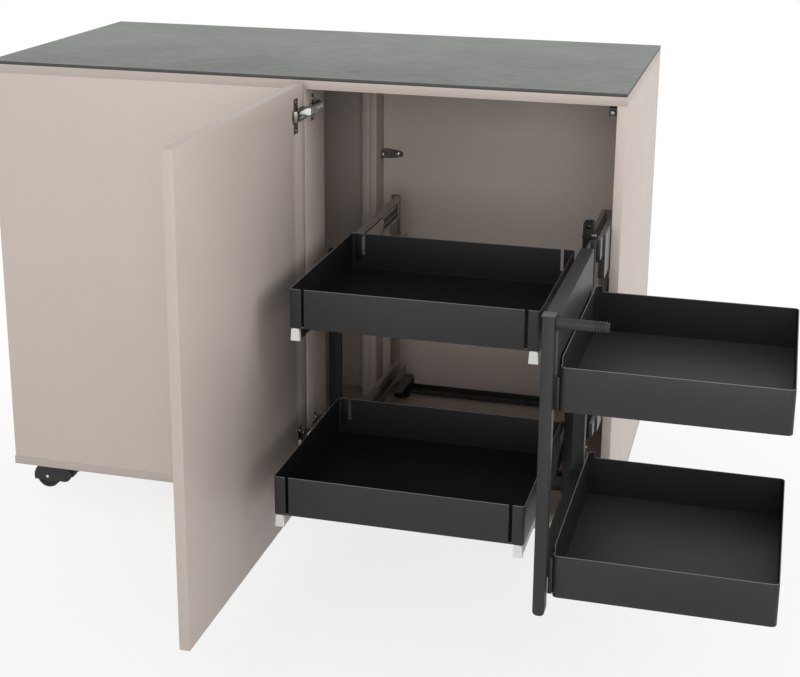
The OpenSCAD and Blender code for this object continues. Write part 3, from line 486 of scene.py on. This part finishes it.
# Painted shade: the back of the rails' channel
CHANNEL_SHADE_LOOK = bare_metal("rail_channel_shade", RAIL_CHANNEL_SHADE, 0.32, LINES_ALONG_Y, metallic=0.7)
SLIDE_LOOK = bare_metal("rail_slide", SLIDE, 0.3, LINES_ALONG_Y, metallic=0.5)
# Black for a painted shadow line: the gap under the side rails' band
SHADOW_LOOK = moulded("rail_gap_shadow", BLACK, roughness=0.6)
RACK_LOOK = moulded("rack_teeth", RACK_TEETH, roughness=0.5)
WALL_RAIL_LOOK = bare_metal("wall_rail", WALL_RAIL, 0.42, LINES_ALONG_Y, metallic=0.3)
RAIL_END_LOOK = moulded("rail_end", RAIL_END, roughness=0.55)
UPRIGHT_LOOK = powder_coat("carriage_upright", UPRIGHT, roughness=0.5, gloss=0.1)
PLUG_LOOK = powder_coat("post_plug", PLUG, roughness=0.5)
PLATE_LOOK = bare_metal("hinge_plate", PLATE_ZINC, roughness=0.28)
CHROME_LOOK = bare_metal("polished_steel", CHROME, roughness=0.2, metallic=0.7)

BODIES = frame["record"]["behaviour"]["bodies"]
NODE_BODY = {node: body for body, nodes in BODIES.items() for node in nodes}
NODE_SLOT = {part["node"]: part["material_slot"] for part in frame["record"]["subparts"]}


def dress_frame():
    """Gives every node of the frame the look of its material slot."""
    for name, thing in frame["nodes"].items():
        thing.data.materials.clear()
        thing.data.materials.append(LOOKS[NODE_SLOT[name]])


def placed(name, data):
    """A new object of the scene that shows a mesh, lamp or camera."""
    thing = bpy.data.objects.new(name, data)
    bpy.context.scene.collection.objects.link(thing)
    return thing


def mesh_of(bm, name):
    """Mesh from a bmesh, which it uses up, with all faces turned outwards."""
    bmesh.ops.recalc_face_normals(bm, faces=list(bm.faces))
    mesh = bpy.data.meshes.new(name)
    bm.to_mesh(mesh)
    bm.free()
    return mesh


def smooth(mesh):
    """Shades a mesh smooth but for its sharp edges."""
    mesh.shade_smooth()
    mesh.set_sharp_from_angle(angle=math.radians(SHARP_ANGLE))


def piece(name, bm, node, looks=None):
    """An object of the scene that rides with a node's body and takes its slot."""
    thing = placed(name, mesh_of(bm, name))
    smooth(thing.data)
    for look in looks or [LOOKS[NODE_SLOT[node]]]:
        thing.data.materials.append(look)
    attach(thing, NODE_BODY[node])
    return thing


def stand_in(name, bm, node, looks=None):
    """A piece that is shown in place of its node."""
    thing = piece(name, bm, node, looks)
    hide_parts(node)
    return thing


def paint(thing, chosen):
    """Gives the second of a thing's materials to the faces for which chosen(face) is true."""
    for face in thing.data.polygons:
        if chosen(face):
            face.material_index = 1


def round_edges(bm, width, segments=2, angle=EDGE_ANGLE):
    """Rounds the edges at which two faces meet at more than an angle in degrees."""
    sharp = [edge for edge in bm.edges
             if len(edge.link_faces) == 2 and edge.calc_face_angle(0) > math.radians(angle)]
    if sharp:
        bmesh.ops.bevel(bm, geom=sharp, offset=width, segments=segments, affect="EDGES",
                        profile=ROUND_PROFILE, clamp_overlap=True)


def own_shape(node, width, looks=None, segments=2):
    """The node's own solid with its sharp edges rounded."""
    bm = bmesh.new()
    bm.from_mesh(frame["nodes"][node].data)
    bmesh.ops.remove_doubles(bm, verts=list(bm.verts), dist=CAD_MERGE)
    bmesh.ops.dissolve_limit(bm, angle_limit=math.radians(FLAT_ANGLE), verts=list(bm.verts),
                             edges=list(bm.edges))
    round_edges(bm, width, segments)
    return stand_in(node + "_detail", bm, node, looks)


def add_box(bm, low, high, rounding=0.0, segments=2):
    """Adds a box between two corners, with rounded edges."""
    made = bmesh.ops.create_cube(bm, size=1.0)["verts"]
    low, high = Vector(low), Vector(high)
    for vertex in made:
        vertex.co = Vector([low[i] + (vertex.co[i] + 0.5) * (high[i] - low[i]) for i in range(3)])
    if rounding:
        edges = list({edge for vertex in made for edge in vertex.link_edges})
        bmesh.ops.bevel(bm, geom=edges, offset=rounding, segments=segments, affect="EDGES",
                        profile=ROUND_PROFILE)


def vertex_maker(bm, centre, axis):
    """A function that adds a vertex at x, y and z from a centre, with z along an axis."""
    turn = Vector(axis).to_track_quat("Z", "Y")
    return lambda x, y, z: bm.verts.new(turn @ Vector((x, y, z)) + Vector(centre))


def add_lathe(bm, profile, centre, axis, steps):
    """Adds a turned shape: pairs of radius and height along an axis from a centre."""
    vertex = vertex_maker(bm, centre, axis)
    angles = [2 * math.pi * step / steps for step in range(steps)]
    rings = []
    for radius, height in profile:
        if radius < POINT_RADIUS:
            rings.append([vertex(0, 0, height)])
        else:
            rings.append([vertex(radius * math.cos(a), radius * math.sin(a), height) for a in angles])
    for a, b in zip(rings, rings[1:]):
        for i in range(steps):
            j = i + 1
            corners = [a[i % len(a)], a[j % len(a)], b[j % len(b)], b[i % len(b)]]
            bm.faces.new(list(dict.fromkeys(corners)))


def add_walls(bm, lower, upper):
    """Adds the two ends and the sides of a prism between two equal rings of vertices."""
    bm.faces.new(lower)
    bm.faces.new(list(reversed(upper)))
    for i in range(len(lower)):
        j = (i + 1) % len(lower)
        bm.faces.new((lower[j], lower[i], upper[i], upper[j]))


def add_prism(bm, points, axis, start, end):
    """Adds a prism along X or Y: an outline in the plane across it, from start to end along it."""
    def vertex(point, along):
        place = (along, point[0], point[1]) if axis == "X" else (point[0], along, point[1])
        return bm.verts.new(place)
    add_walls(bm, [vertex(p, start) for p in points], [vertex(p, end) for p in points])


def add_cross(bm, centre, axis, reach, half, depth):
    """Adds a cross-shaped prism that sinks into a screw head by a depth."""
    vertex = vertex_maker(bm, centre, axis)
    a, b = reach, half
    outline = [(a, -b), (a, b), (b, b), (b, a), (-b, a), (-b, b),
               (-a, b), (-a, -b), (-b, -b), (-b, -a), (b, -a), (b, -b)]
    sunk = [vertex(x, y, -depth) for x, y in outline]
    add_walls(bm, [vertex(x, y, depth) for x, y in outline], sunk)


def add_pin(bm, centre, radius, length):
    """Adds a plain round pin along X with its middle at a place."""
    half = length / 2
    profile = [(0, -half), (radius, -half), (radius, half), (0, half)]
    add_lathe(bm, profile, centre, (1, 0, 0), HOLE_STEPS)


def arc(centre, radius, start, end, steps):
    """Points of an arc, angles in degrees."""
    angles = [math.radians(start + (end - start) * i / steps) for i in range(steps + 1)]
    return [(centre[0] + radius * math.cos(a), centre[1] + radius * math.sin(a)) for a in angles]


def cut(thing, bm):
    """Takes the shapes in a bmesh out of a thing."""
    tool = placed("cutter", mesh_of(bm, "cutter"))
    change = thing.modifiers.new("cut", "BOOLEAN")
    change.operation = "DIFFERENCE"
    change.solver = "EXACT"
    change.use_self = True
    change.object = tool
    bpy.context.view_layer.update()
    graph = bpy.context.evaluated_depsgraph_get()
    mesh = bpy.data.meshes.new_from_object(thing.evaluated_get(graph))
    old = thing.data
    thing.modifiers.clear()
    thing.data = mesh
    mesh.name = thing.name
    smooth(mesh)
    bpy.data.meshes.remove(old)
    bpy.data.objects.remove(tool)


def screw_head(name, spot, axis, node):
    """Pan head with a cross recess, its flat side at a spot."""
    head = bmesh.new()
    add_lathe(head, [(HEAD_R * across, HEAD_H * up) for across, up in PAN_HEAD], spot, axis, HEAD_STEPS)
    cross = bmesh.new()
    top = Vector(spot) + Vector(axis) * HEAD_H
    add_cross(cross, top, axis, HEAD_R * RECESS_REACH, HEAD_R * RECESS_HALF, HEAD_H * RECESS_DEPTH)
    cut(piece(name, head, node, [CHROME_LOOK]), cross)


def board(node, edge_look=EDGE_LOOK):
    """A board with softly rounded edges and edge bands."""
    low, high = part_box(node)
    size = high - low
    thin = min(range(3), key=lambda i: size[i])
    broad = [i for i in range(3) if i != thin]

    def on_edge(face):
        reach = min(min(abs(face.center[i] - low[i]), abs(face.center[i] - high[i])) for i in broad)
        return abs(face.normal[thin]) <= FACING and reach < BAND_REACH
    paint(own_shape(node, BOARD_ROUND, [LOOKS["taupe_board"], edge_look]), on_edge)


def boards():
    """The slab and the boards, most of them with an edge band of another tone."""
    own_shape("worktop", WORKTOP_ROUND)
    for name in ("top_panel", "bottom_panel", "left_side_panel", "back_panel", "blind_front_panel",
                 "hinge_post", "door_panel"):
        board(name)
    board("right_side_panel", LOOKS["taupe_board"])
    own_shape("rear_stile_boards", BOARD_ROUND)


def wall_outline(width, depth, radius, inset, steps):
    """Outline of a tray wall, counterclockwise, as x, y and how far its rim is raised there.

    steps lists the changes of the rim: the side that each is on, its place there and the new rise."""
    r = radius - inset
    right, back = width - inset, depth - inset
    sides = (
        ("front", False, lambda place: (place, inset), (right - r, inset + r), -90),
        ("right", False, lambda place: (right, place), (right - r, back - r), 0),
        ("rear", True, lambda place: (place, back), (inset + r, back - r), 90),
        ("left", True, lambda place: (inset, place), (inset + r, inset + r), 180),
    )
    points = []
    rise = 0.0
    for side, falling, spot, centre, start in sides:
        changes = [(place, new) for name, place, new in steps if name == side]
        for place, new in sorted(changes, reverse=falling):
            points += [(*spot(place), rise), (*spot(place), new)]
            rise = new
        corner = arc(centre, r, start, start + 90, TRAY_CORNER_STEPS)
        points += [(x, y, rise) for x, y in corner]
    return points


def tray_profile(height):
    """Section of a tray's wall from its foot over the rim to the floor.

    Each point is an inset, a height and whether it follows the steps of the rim."""
    foot, rim = TRAY_FOOT_R, SHEET / 2
    profile = [(foot, 0.0, 0)]
    for a in map(math.radians, TRAY_FOOT_ANGLES):
        profile.append((foot - foot * math.sin(a), foot - foot * math.cos(a), 0))
    first = len(profile)
    for a in map(math.radians, TRAY_RIM_ANGLES):
        profile.append((rim - rim * math.cos(a), height - rim + rim * math.sin(a), 1))
    rim_rings = range(first, len(profile) - 1)
    profile += [(SHEET, SHEET + TRAY_INNER_FOOT, 0), (SHEET + TRAY_INNER_FOOT, SHEET, 0)]
    return profile, rim_rings


def tray(node, height, radius, steps, inside_shade, floor):
    """Folded tray: rounded foot, thin walls with a rounded rim that steps up and down, flat floor;
    painted shade inside and a painted highlight on the rim.
    """
    low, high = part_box(node)
    width, depth = high.x - low.x, high.y - low.y
    profile, rim_rings = tray_profile(height)
    bm = bmesh.new()
    rings = []
    for inset, z, follows in profile:
        ring = wall_outline(width, depth, radius, inset, steps)
        rings.append([bm.verts.new(low + Vector((x, y, z + follows * rise))) for x, y, rise in ring])
    for number, (a, b) in enumerate(zip(rings, rings[1:])):
        look = TRAY_OUTSIDE if number < rim_rings.start else TRAY_INSIDE_SHADE
        for i in range(len(a)):
            j = (i + 1) % len(a)
            face = bm.faces.new((a[i], a[j], b[j], b[i]))
            face.material_index = TRAY_TOP_HIGHLIGHT if number in rim_rings else look
    bm.faces.new(list(reversed(rings[0])))
    bm.faces.new(rings[-1]).material_index = TRAY_FLOOR
    bmesh.ops.remove_doubles(bm, verts=list(bm.verts), dist=TRAY_MERGE)
    stand_in(node + "_sheet", bm, node, [LOOKS["anthracite_steel"], inside_shade, RIM_HIGHLIGHT_LOOK, floor])


def rear_tray(node):
    """Rear tray: full-height slots beside the front corners, shorter ones behind, tabs in the corners."""
    low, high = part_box(node)
    width, height = high.x - low.x, high.z - low.z
    steps = []
    for start in (SLOT_INSET, width - SLOT_INSET - SLOT_WIDTH):
        stop = start + SLOT_WIDTH
        steps += [("front", start, SLOT_FOOT - height), ("front", stop, 0.0)]
        steps += [("rear", stop, -SLOT_SHARE * height), ("rear", start, 0.0)]
    # The inside walls and the floor take the painted shade
    tray(node, height, REAR_TRAY_R, steps, INNER_SHADE_LOOK, INNER_SHADE_LOOK)
    bm = bmesh.new()
    back = high.y - SHEET
    for start in (low.x + REAR_TRAY_R, high.x - SLOT_INSET):
        stop = start + SLOT_INSET - REAR_TRAY_R
        add_box(bm, (start, back - CORNER_TAB_T, high.z - CORNER_TAB), (stop, back, high.z - SHEET),
                TAB_ROUND)
    # The corner tabs take the painted shade too
    piece(node + "_corner_tabs", bm, node, [INNER_SHADE_LOOK])


def front_tray(node):
    """Front tray: the wall beside the frame stands higher and has a notch near the front."""
    low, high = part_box(node)
    steps = [("rear", SIDE_STRIP, high.z - low.z - FRONT_TRAY_WALL),
             ("left", SIDE_STRIP + NOTCH_WIDTH, -NOTCH_DEPTH),
             ("left", SIDE_STRIP, 0.0)]
    # The inside walls take the painted shade; the floor stays anthracite
    tray(node, FRONT_TRAY_WALL, FRONT_TRAY_R, steps, FRONT_INNER_SHADE_LOOK, LOOKS["anthracite_steel"])


def runner_caps(node):
    """White end caps: a short block with rounded shoulders that narrows a little towards the top."""
    low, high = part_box(node)
    bm = bmesh.new()
    drop = high.z - CAP_SHOULDER
    for x in (low.x, high.x - CAP_WIDTH):
        right = arc((x + CAP_WIDTH - CAP_TAPER - CAP_SHOULDER, drop), CAP_SHOULDER, 0, 90, CAP_STEPS)
        left = arc((x + CAP_TAPER + CAP_SHOULDER, drop), CAP_SHOULDER, 90, 180, CAP_STEPS)
        outline = [(x, low.z), (x + CAP_WIDTH, low.z)] + right + left
        add_prism(bm, outline, "Y", low.y, high.y)
    round_edges(bm, CAP_ROUND, angle=CORNER_ANGLE)
    stand_in(node + "_detail", bm, node)


def trays():
    """The four trays and the caps below the rear ones."""
    for name in ("upper_rear_tray", "lower_rear_tray"):
        rear_tray(name)
    for name in ("upper_front_tray", "lower_front_tray"):
        front_tray(name)
    for name in ("upper_runner_caps", "lower_runner_caps"):
        runner_caps(name)


def add_rail(rails, holes, x, way, z, front, back):
    """Adds a rail that is open towards way, and the pins that cut the holes in its band."""
    profile = [(0, 0), (RAIL_T, 0), (RAIL_T, RAIL_LIP), (RAIL_WEB, RAIL_LIP), (RAIL_WEB, CHANNEL_TOP),
               (RAIL_T, CHANNEL_TOP), (RAIL_T, RAIL_H), (0, RAIL_H)]
    add_prism(rails, [(x + way * u, z + v) for u, v in profile], "Y", front, back)
    for along in HOLE_PLACES:
        add_pin(holes, (x, front + along, z + RAIL_H - HOLE_DROP), HOLE_R, HOLE_REACH)


def add_slide(slides, slots, cages, x, way, z, front, length, back):
    """Adds a rail's slide, the boxes that cut the slots in it, and the ball cage behind it."""
    plate = sorted((x + way * RAIL_WEB, x + way * (RAIL_T - SLIDE_INSET)))
    bottom, top = z + RAIL_LIP + SLIDE_LIFT, z + CHANNEL_TOP - SLIDE_GAP
    start, stop = front + SLIDE_START, front + length
    radius = (top - bottom) / 2
    tip = arc((stop - radius, bottom + radius), radius, -90, 90, SLIDE_STEPS)
    add_prism(slides, [(start, bottom), *tip, (start, top)], "X", *plate)
    for offset in SLIDE_SLOTS:
        middle = Vector((x + way * RAIL_T, stop - (radius + offset), bottom + radius))
        add_box(slots, middle - SLIDE_SLOT_HALF, middle + SLIDE_SLOT_HALF)
    near, far = sorted((x + way * RAIL_WEB, x + way * (RAIL_WEB + CAGE_T)))
    start, stop = stop + CAGE_START, back - CAGE_END
    for up, tall in ((bottom + CAGE_LIFT, CAGE_THIN), (top - CAGE_DROP, CAGE_TALL)):
        add_box(cages, (near, start, up), (far, stop, up + tall), CAGE_ROUND)


def side_rails():
    """Extruded rails: a band over an open channel, and in the channel a bright slide with a round end."""
    node = "carrier_side_rails"
    low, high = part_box(node)
    rails, slides, holes, slots, cages = (bmesh.new() for _ in range(5))
    for x, way in ((low.x, 1), (high.x, -1)):
        for z, length in ((low.z, LOWER_SLIDE), (high.z - RAIL_H, UPPER_SLIDE)):
            add_rail(rails, holes, x, way, z, low.y, high.y)
            add_slide(slides, slots, cages, x, way, z, low.y, length, high.y)
    round_edges(rails, SHEET_ROUND, angle=CORNER_ANGLE)
    rail = stand_in("carrier_side_rails_profile", rails, node, [LOOKS[NODE_SLOT[node]], CHANNEL_SHADE_LOOK])
    slide = piece("rail_slides", slides, node, [SLIDE_LOOK, SHADOW_LOOK])
    piece("rail_ball_cages", cages, node, [SLIDE_LOOK])
    cut(rail, holes)
    cut(slide, slots)

    # The back of the channel takes the painted shade of the recess
    def on_shaded_web(face):
        depth = min(face.center.x - low.x, high.x - face.center.x)
        return abs(face.normal.x) > SQUARE_ON and abs(depth - RAIL_WEB) < WEB_REACH
    paint(rail, on_shaded_web)
    # The slides' top faces take the black: a painted shadow line under the band
    paint(slide, lambda face: face.normal.z > SQUARE_ON)


def post_cap():
    """Pale plug in the top of the front post, a little wider than the tube on its left side."""
    low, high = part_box("frame_front_post")
    bm = bmesh.new()
    add_box(bm, (low.x - PLUG_OVERHANG, low.y + PLUG_INSET, high.z - PLUG_SINK),
            (high.x - PLUG_INSET, high.y - PLUG_INSET, high.z + PLUG_STAND), PLUG_ROUND, segments=3)
    piece("front_post_plug", bm, "frame_front_post", [PLUG_LOOK])


def handle():
    """Turned handle rod with a grooved grip end and a slotted plug."""
    low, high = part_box("handle_rod")
    radius = (high.z - low.z) / 2
    centre = Vector((low.x, (low.y + high.y) / 2, (low.z + high.z) / 2))
    length = high.x - low.x
    plain = length - GRIP_LENGTH
    profile = [(0, 0), (radius * HANDLE_FACE, 0), (radius, HANDLE_CHAMFER), (radius, plain)]
    for number in range(GRIP_GROOVES):
        start = plain + number * GRIP_PITCH
        profile += [(radius * GROOVE, start + GROOVE_START), (radius * GROOVE, start + GROOVE_END),
                    (radius, start + GROOVE_RIDGE), (radius, start + GRIP_PITCH)]
    profile += [(radius * NECK, length - NECK_START), (radius * NECK, length - NECK_END),
                (radius * HANDLE_TIP, length), (0, length)]
    bm = bmesh.new()
    axis = (1, 0, 0)
    add_lathe(bm, profile, centre, axis, HANDLE_STEPS)
    thing = stand_in("handle_rod_turned", bm, "handle_rod")
    slots = bmesh.new()
    tip = centre + Vector((length, 0, 0))
    add_cross(slots, tip, axis, radius * TIP_SLOT_REACH, TIP_SLOT_HALF, TIP_SLOT_DEPTH)
    cut(thing, slots)


def corner_bracket():
    """Pressed angle bracket that narrows to a round end, with a screw in each leg."""
    node = "corner_bracket"
    low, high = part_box(node)
    middle = (low.z + high.z) / 2
    half = (high.z - low.z) / 2
    foot, top = middle - half, middle + half
    back = high.y - BRACKET_SHEET
    bm = bmesh.new()
    outline = [(low.x, foot), (low.x + BRACKET_STRAIGHT, foot)]
    outline += arc((high.x - BRACKET_TIP_R, middle), BRACKET_TIP_R, -BRACKET_TIP_ANGLE, BRACKET_TIP_ANGLE,
                   BRACKET_TIP_STEPS)
    outline += [(low.x + BRACKET_STRAIGHT, top), (low.x, top)]
    add_prism(bm, outline, "Y", back, high.y)
    end = low.y + BRACKET_END_R
    side = [(end, foot), (back, foot), (back, top), (end, top)]
    side += arc((end, middle), BRACKET_END_R, *BRACKET_END_ANGLES, BRACKET_END_STEPS)
    add_prism(bm, side, "X", low.x, low.x + BRACKET_SHEET)
    round_edges(bm, SHEET_ROUND, angle=BRACKET_ANGLE)
    stand_in("corner_bracket_pressed", bm, node)
    spot = (high.x - BRACKET_SCREW_BACK, back, middle)
    screw_head("corner_bracket_screws", spot, (0, -1, 0), node)
    spot = (low.x + BRACKET_SHEET, low.y + BRACKET_SIDE_SCREW, middle)
    screw_head("corner_bracket_side_screw", spot, (1, 0, 0), node)


def hinges():
    """Hinges: rounded plates and cups, polished arms."""
    own_shape("hinge_mounting_plates", HINGE_PLATE_ROUND, [PLATE_LOOK])
    own_shape("hinge_arms", HINGE_ARM_ROUND, [CHROME_LOOK], segments=3)
    own_shape("hinge_cups", HINGE_CUP_ROUND, [PLATE_LOOK])


def castors():
    """Castors: rounded housings and treads, and a bright rivet on each axle end."""
    rivet = [(radius * MM, height * MM) for radius, height in RIVET]
    for name in ("front_left_castor", "front_right_castor", "rear_left_castor", "rear_right_castor"):
        own_shape(name + "_housing", HOUSING_ROUND)
        own_shape(name + "_wheels", TREAD_ROUND, segments=3)
        low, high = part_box(name + "_wheels")
        centre = (low + high) / 2
        reach = (high.y - low.y) / 2 - RIVET_SINK
        bm = bmesh.new()
        for way in (-1, 1):
            add_lathe(bm, rivet, centre + Vector((0, way * reach, 0)), (0, way, 0), HEAD_STEPS)
        piece(name + "_rivets", bm, name + "_wheels", [CHROME_LOOK])


def rails_and_posts():
    """The carrier's posts, the carriage's upright, the rails on the right wall and the rack."""
    own_shape("carrier_front_posts", POST_ROUND, [CARRIER_POST_LOOK])
    own_shape("carrier_rear_posts", POST_ROUND, [REAR_POST_LOOK])
    own_shape("carriage_upright", UPRIGHT_ROUND, [UPRIGHT_LOOK])
    for name in ("wall_rails", "wall_middle_rails", "carriage_rails"):
        rail = own_shape(name, SHEET_ROUND, [WALL_RAIL_LOOK, RAIL_END_LOOK])
        paint(rail, lambda face: face.normal.y < -FACING)
    own_shape("toothed_rack", RACK_ROUND, [RACK_LOOK])


def lamp(name, place, target, size, power):
    """A square lamp that faces a point."""
    data = bpy.data.lights.new(name, "AREA")
    data.size = size
    data.energy = power
    thing = placed(name, data)
    thing.location = place
    thing.rotation_euler = (Vector(target) - Vector(place)).to_track_quat("-Z", "Y").to_euler()


def seen_rays(tree):
    """1 for rays that see the surroundings: from the camera, in a reflection or through glass."""
    path = tree.nodes.new("ShaderNodeLightPath")
    factor = path.outputs["Is Camera Ray"]
    for ray in ("Is Glossy Ray", "Is Transmission Ray"):
        either = tree.nodes.new("ShaderNodeMath")
        either.operation = "MAXIMUM"
        tree.links.new(factor, either.inputs[0])
        tree.links.new(path.outputs[ray], either.inputs[1])
        factor = either.outputs[0]
    return factor


def join_shaders(tree, factor, first, second, output):
    """Sends a mix of two shaders to an output: the first where the factor is 0."""
    mix = tree.nodes.new("ShaderNodeMixShader")
    for number, source in enumerate((factor, first.outputs[0], second.outputs[0])):
        tree.links.new(source, mix.inputs[number])
    tree.links.new(mix.outputs[0], tree.nodes[output].inputs["Surface"])


def studio():
    """White surroundings and soft light."""
    world = bpy.data.worlds.new("studio")
    bpy.context.scene.world = world
    world.use_nodes = True
    tree = world.node_tree
    light = tree.nodes["Background"]
    seen = tree.nodes.new("ShaderNodeBackground")
    for node, strength in ((light, WORLD_STRENGTH), (seen, SEEN_STRENGTH)):
        node.inputs["Color"].default_value = WHITE_LIGHT
        node.inputs["Strength"].default_value = strength
    join_shaders(tree, seen_rays(tree), light, seen, "World Output")
    for name, settings in LAMPS.items():
        lamp(name, *settings)


def pale_floor():
    """Pale floor that keeps a soft shadow and turns white away from the cabinet."""
    bm = bmesh.new()
    bmesh.ops.create_grid(bm, x_segments=2, y_segments=2, size=FLOOR_REACH)
    thing = placed("floor", mesh_of(bm, "floor"))
    s = Shader("pale_floor", roughness=FLOOR_ROUGHNESS)
    s.surface.inputs["Base Color"].default_value = FLOOR_GREY
    s.gloss(FLOOR_GLOSS)
    glow = s.add("ShaderNodeEmission")
    distance = s.add("ShaderNodeVectorMath", operation="LENGTH")
    s.link(s.place, distance.inputs[0])
    fade = s.add("ShaderNodeMapRange")
    fade.inputs["From Min"].default_value = GLOW_NEAR
    fade.inputs["From Max"].default_value = GLOW_FAR
    fade.inputs["To Min"].default_value = GLOW_LEAST
    s.link(distance.outputs["Value"], fade.inputs["Value"])
    both = s.add("ShaderNodeMath", operation="MULTIPLY")
    s.link(fade.outputs["Result"], both.inputs[0])
    s.link(seen_rays(s.tree), both.inputs[1])
    join_shaders(s.tree, both.outputs[0], s.surface, glow, "Material Output")
    thing.data.materials.append(s.material)


def camera():
    """The photograph's camera, and a picture with the colours as they are."""
    data = bpy.data.cameras.new("camera")
    data.sensor_width = SENSOR_WIDTH
    data.lens = CAMERA_FOCUS_PX / PHOTO_WIDTH * SENSOR_WIDTH
    data.shift_y = CAMERA_SHIFT
    thing = placed("camera", data)
    turn = Matrix.Rotation(CAMERA_YAW, 4, "Z") @ Matrix.Rotation(math.pi / 2 - CAMERA_PITCH, 4, "X")
    thing.matrix_world = Matrix.Translation(CAMERA_PLACE) @ turn @ Matrix.Rotation(CAMERA_ROLL, 4, "Z")
    bpy.context.scene.camera = thing
    bpy.context.scene.view_settings.view_transform = "Standard"


camera()
studio()
pale_floor()
dress_frame()
boards()
trays()
side_rails()
post_cap()
handle()
corner_bracket()
hinges()
castors()
rails_and_posts()
for name, width in PLAIN_COPIES.items():
    own_shape(name, width * MM)
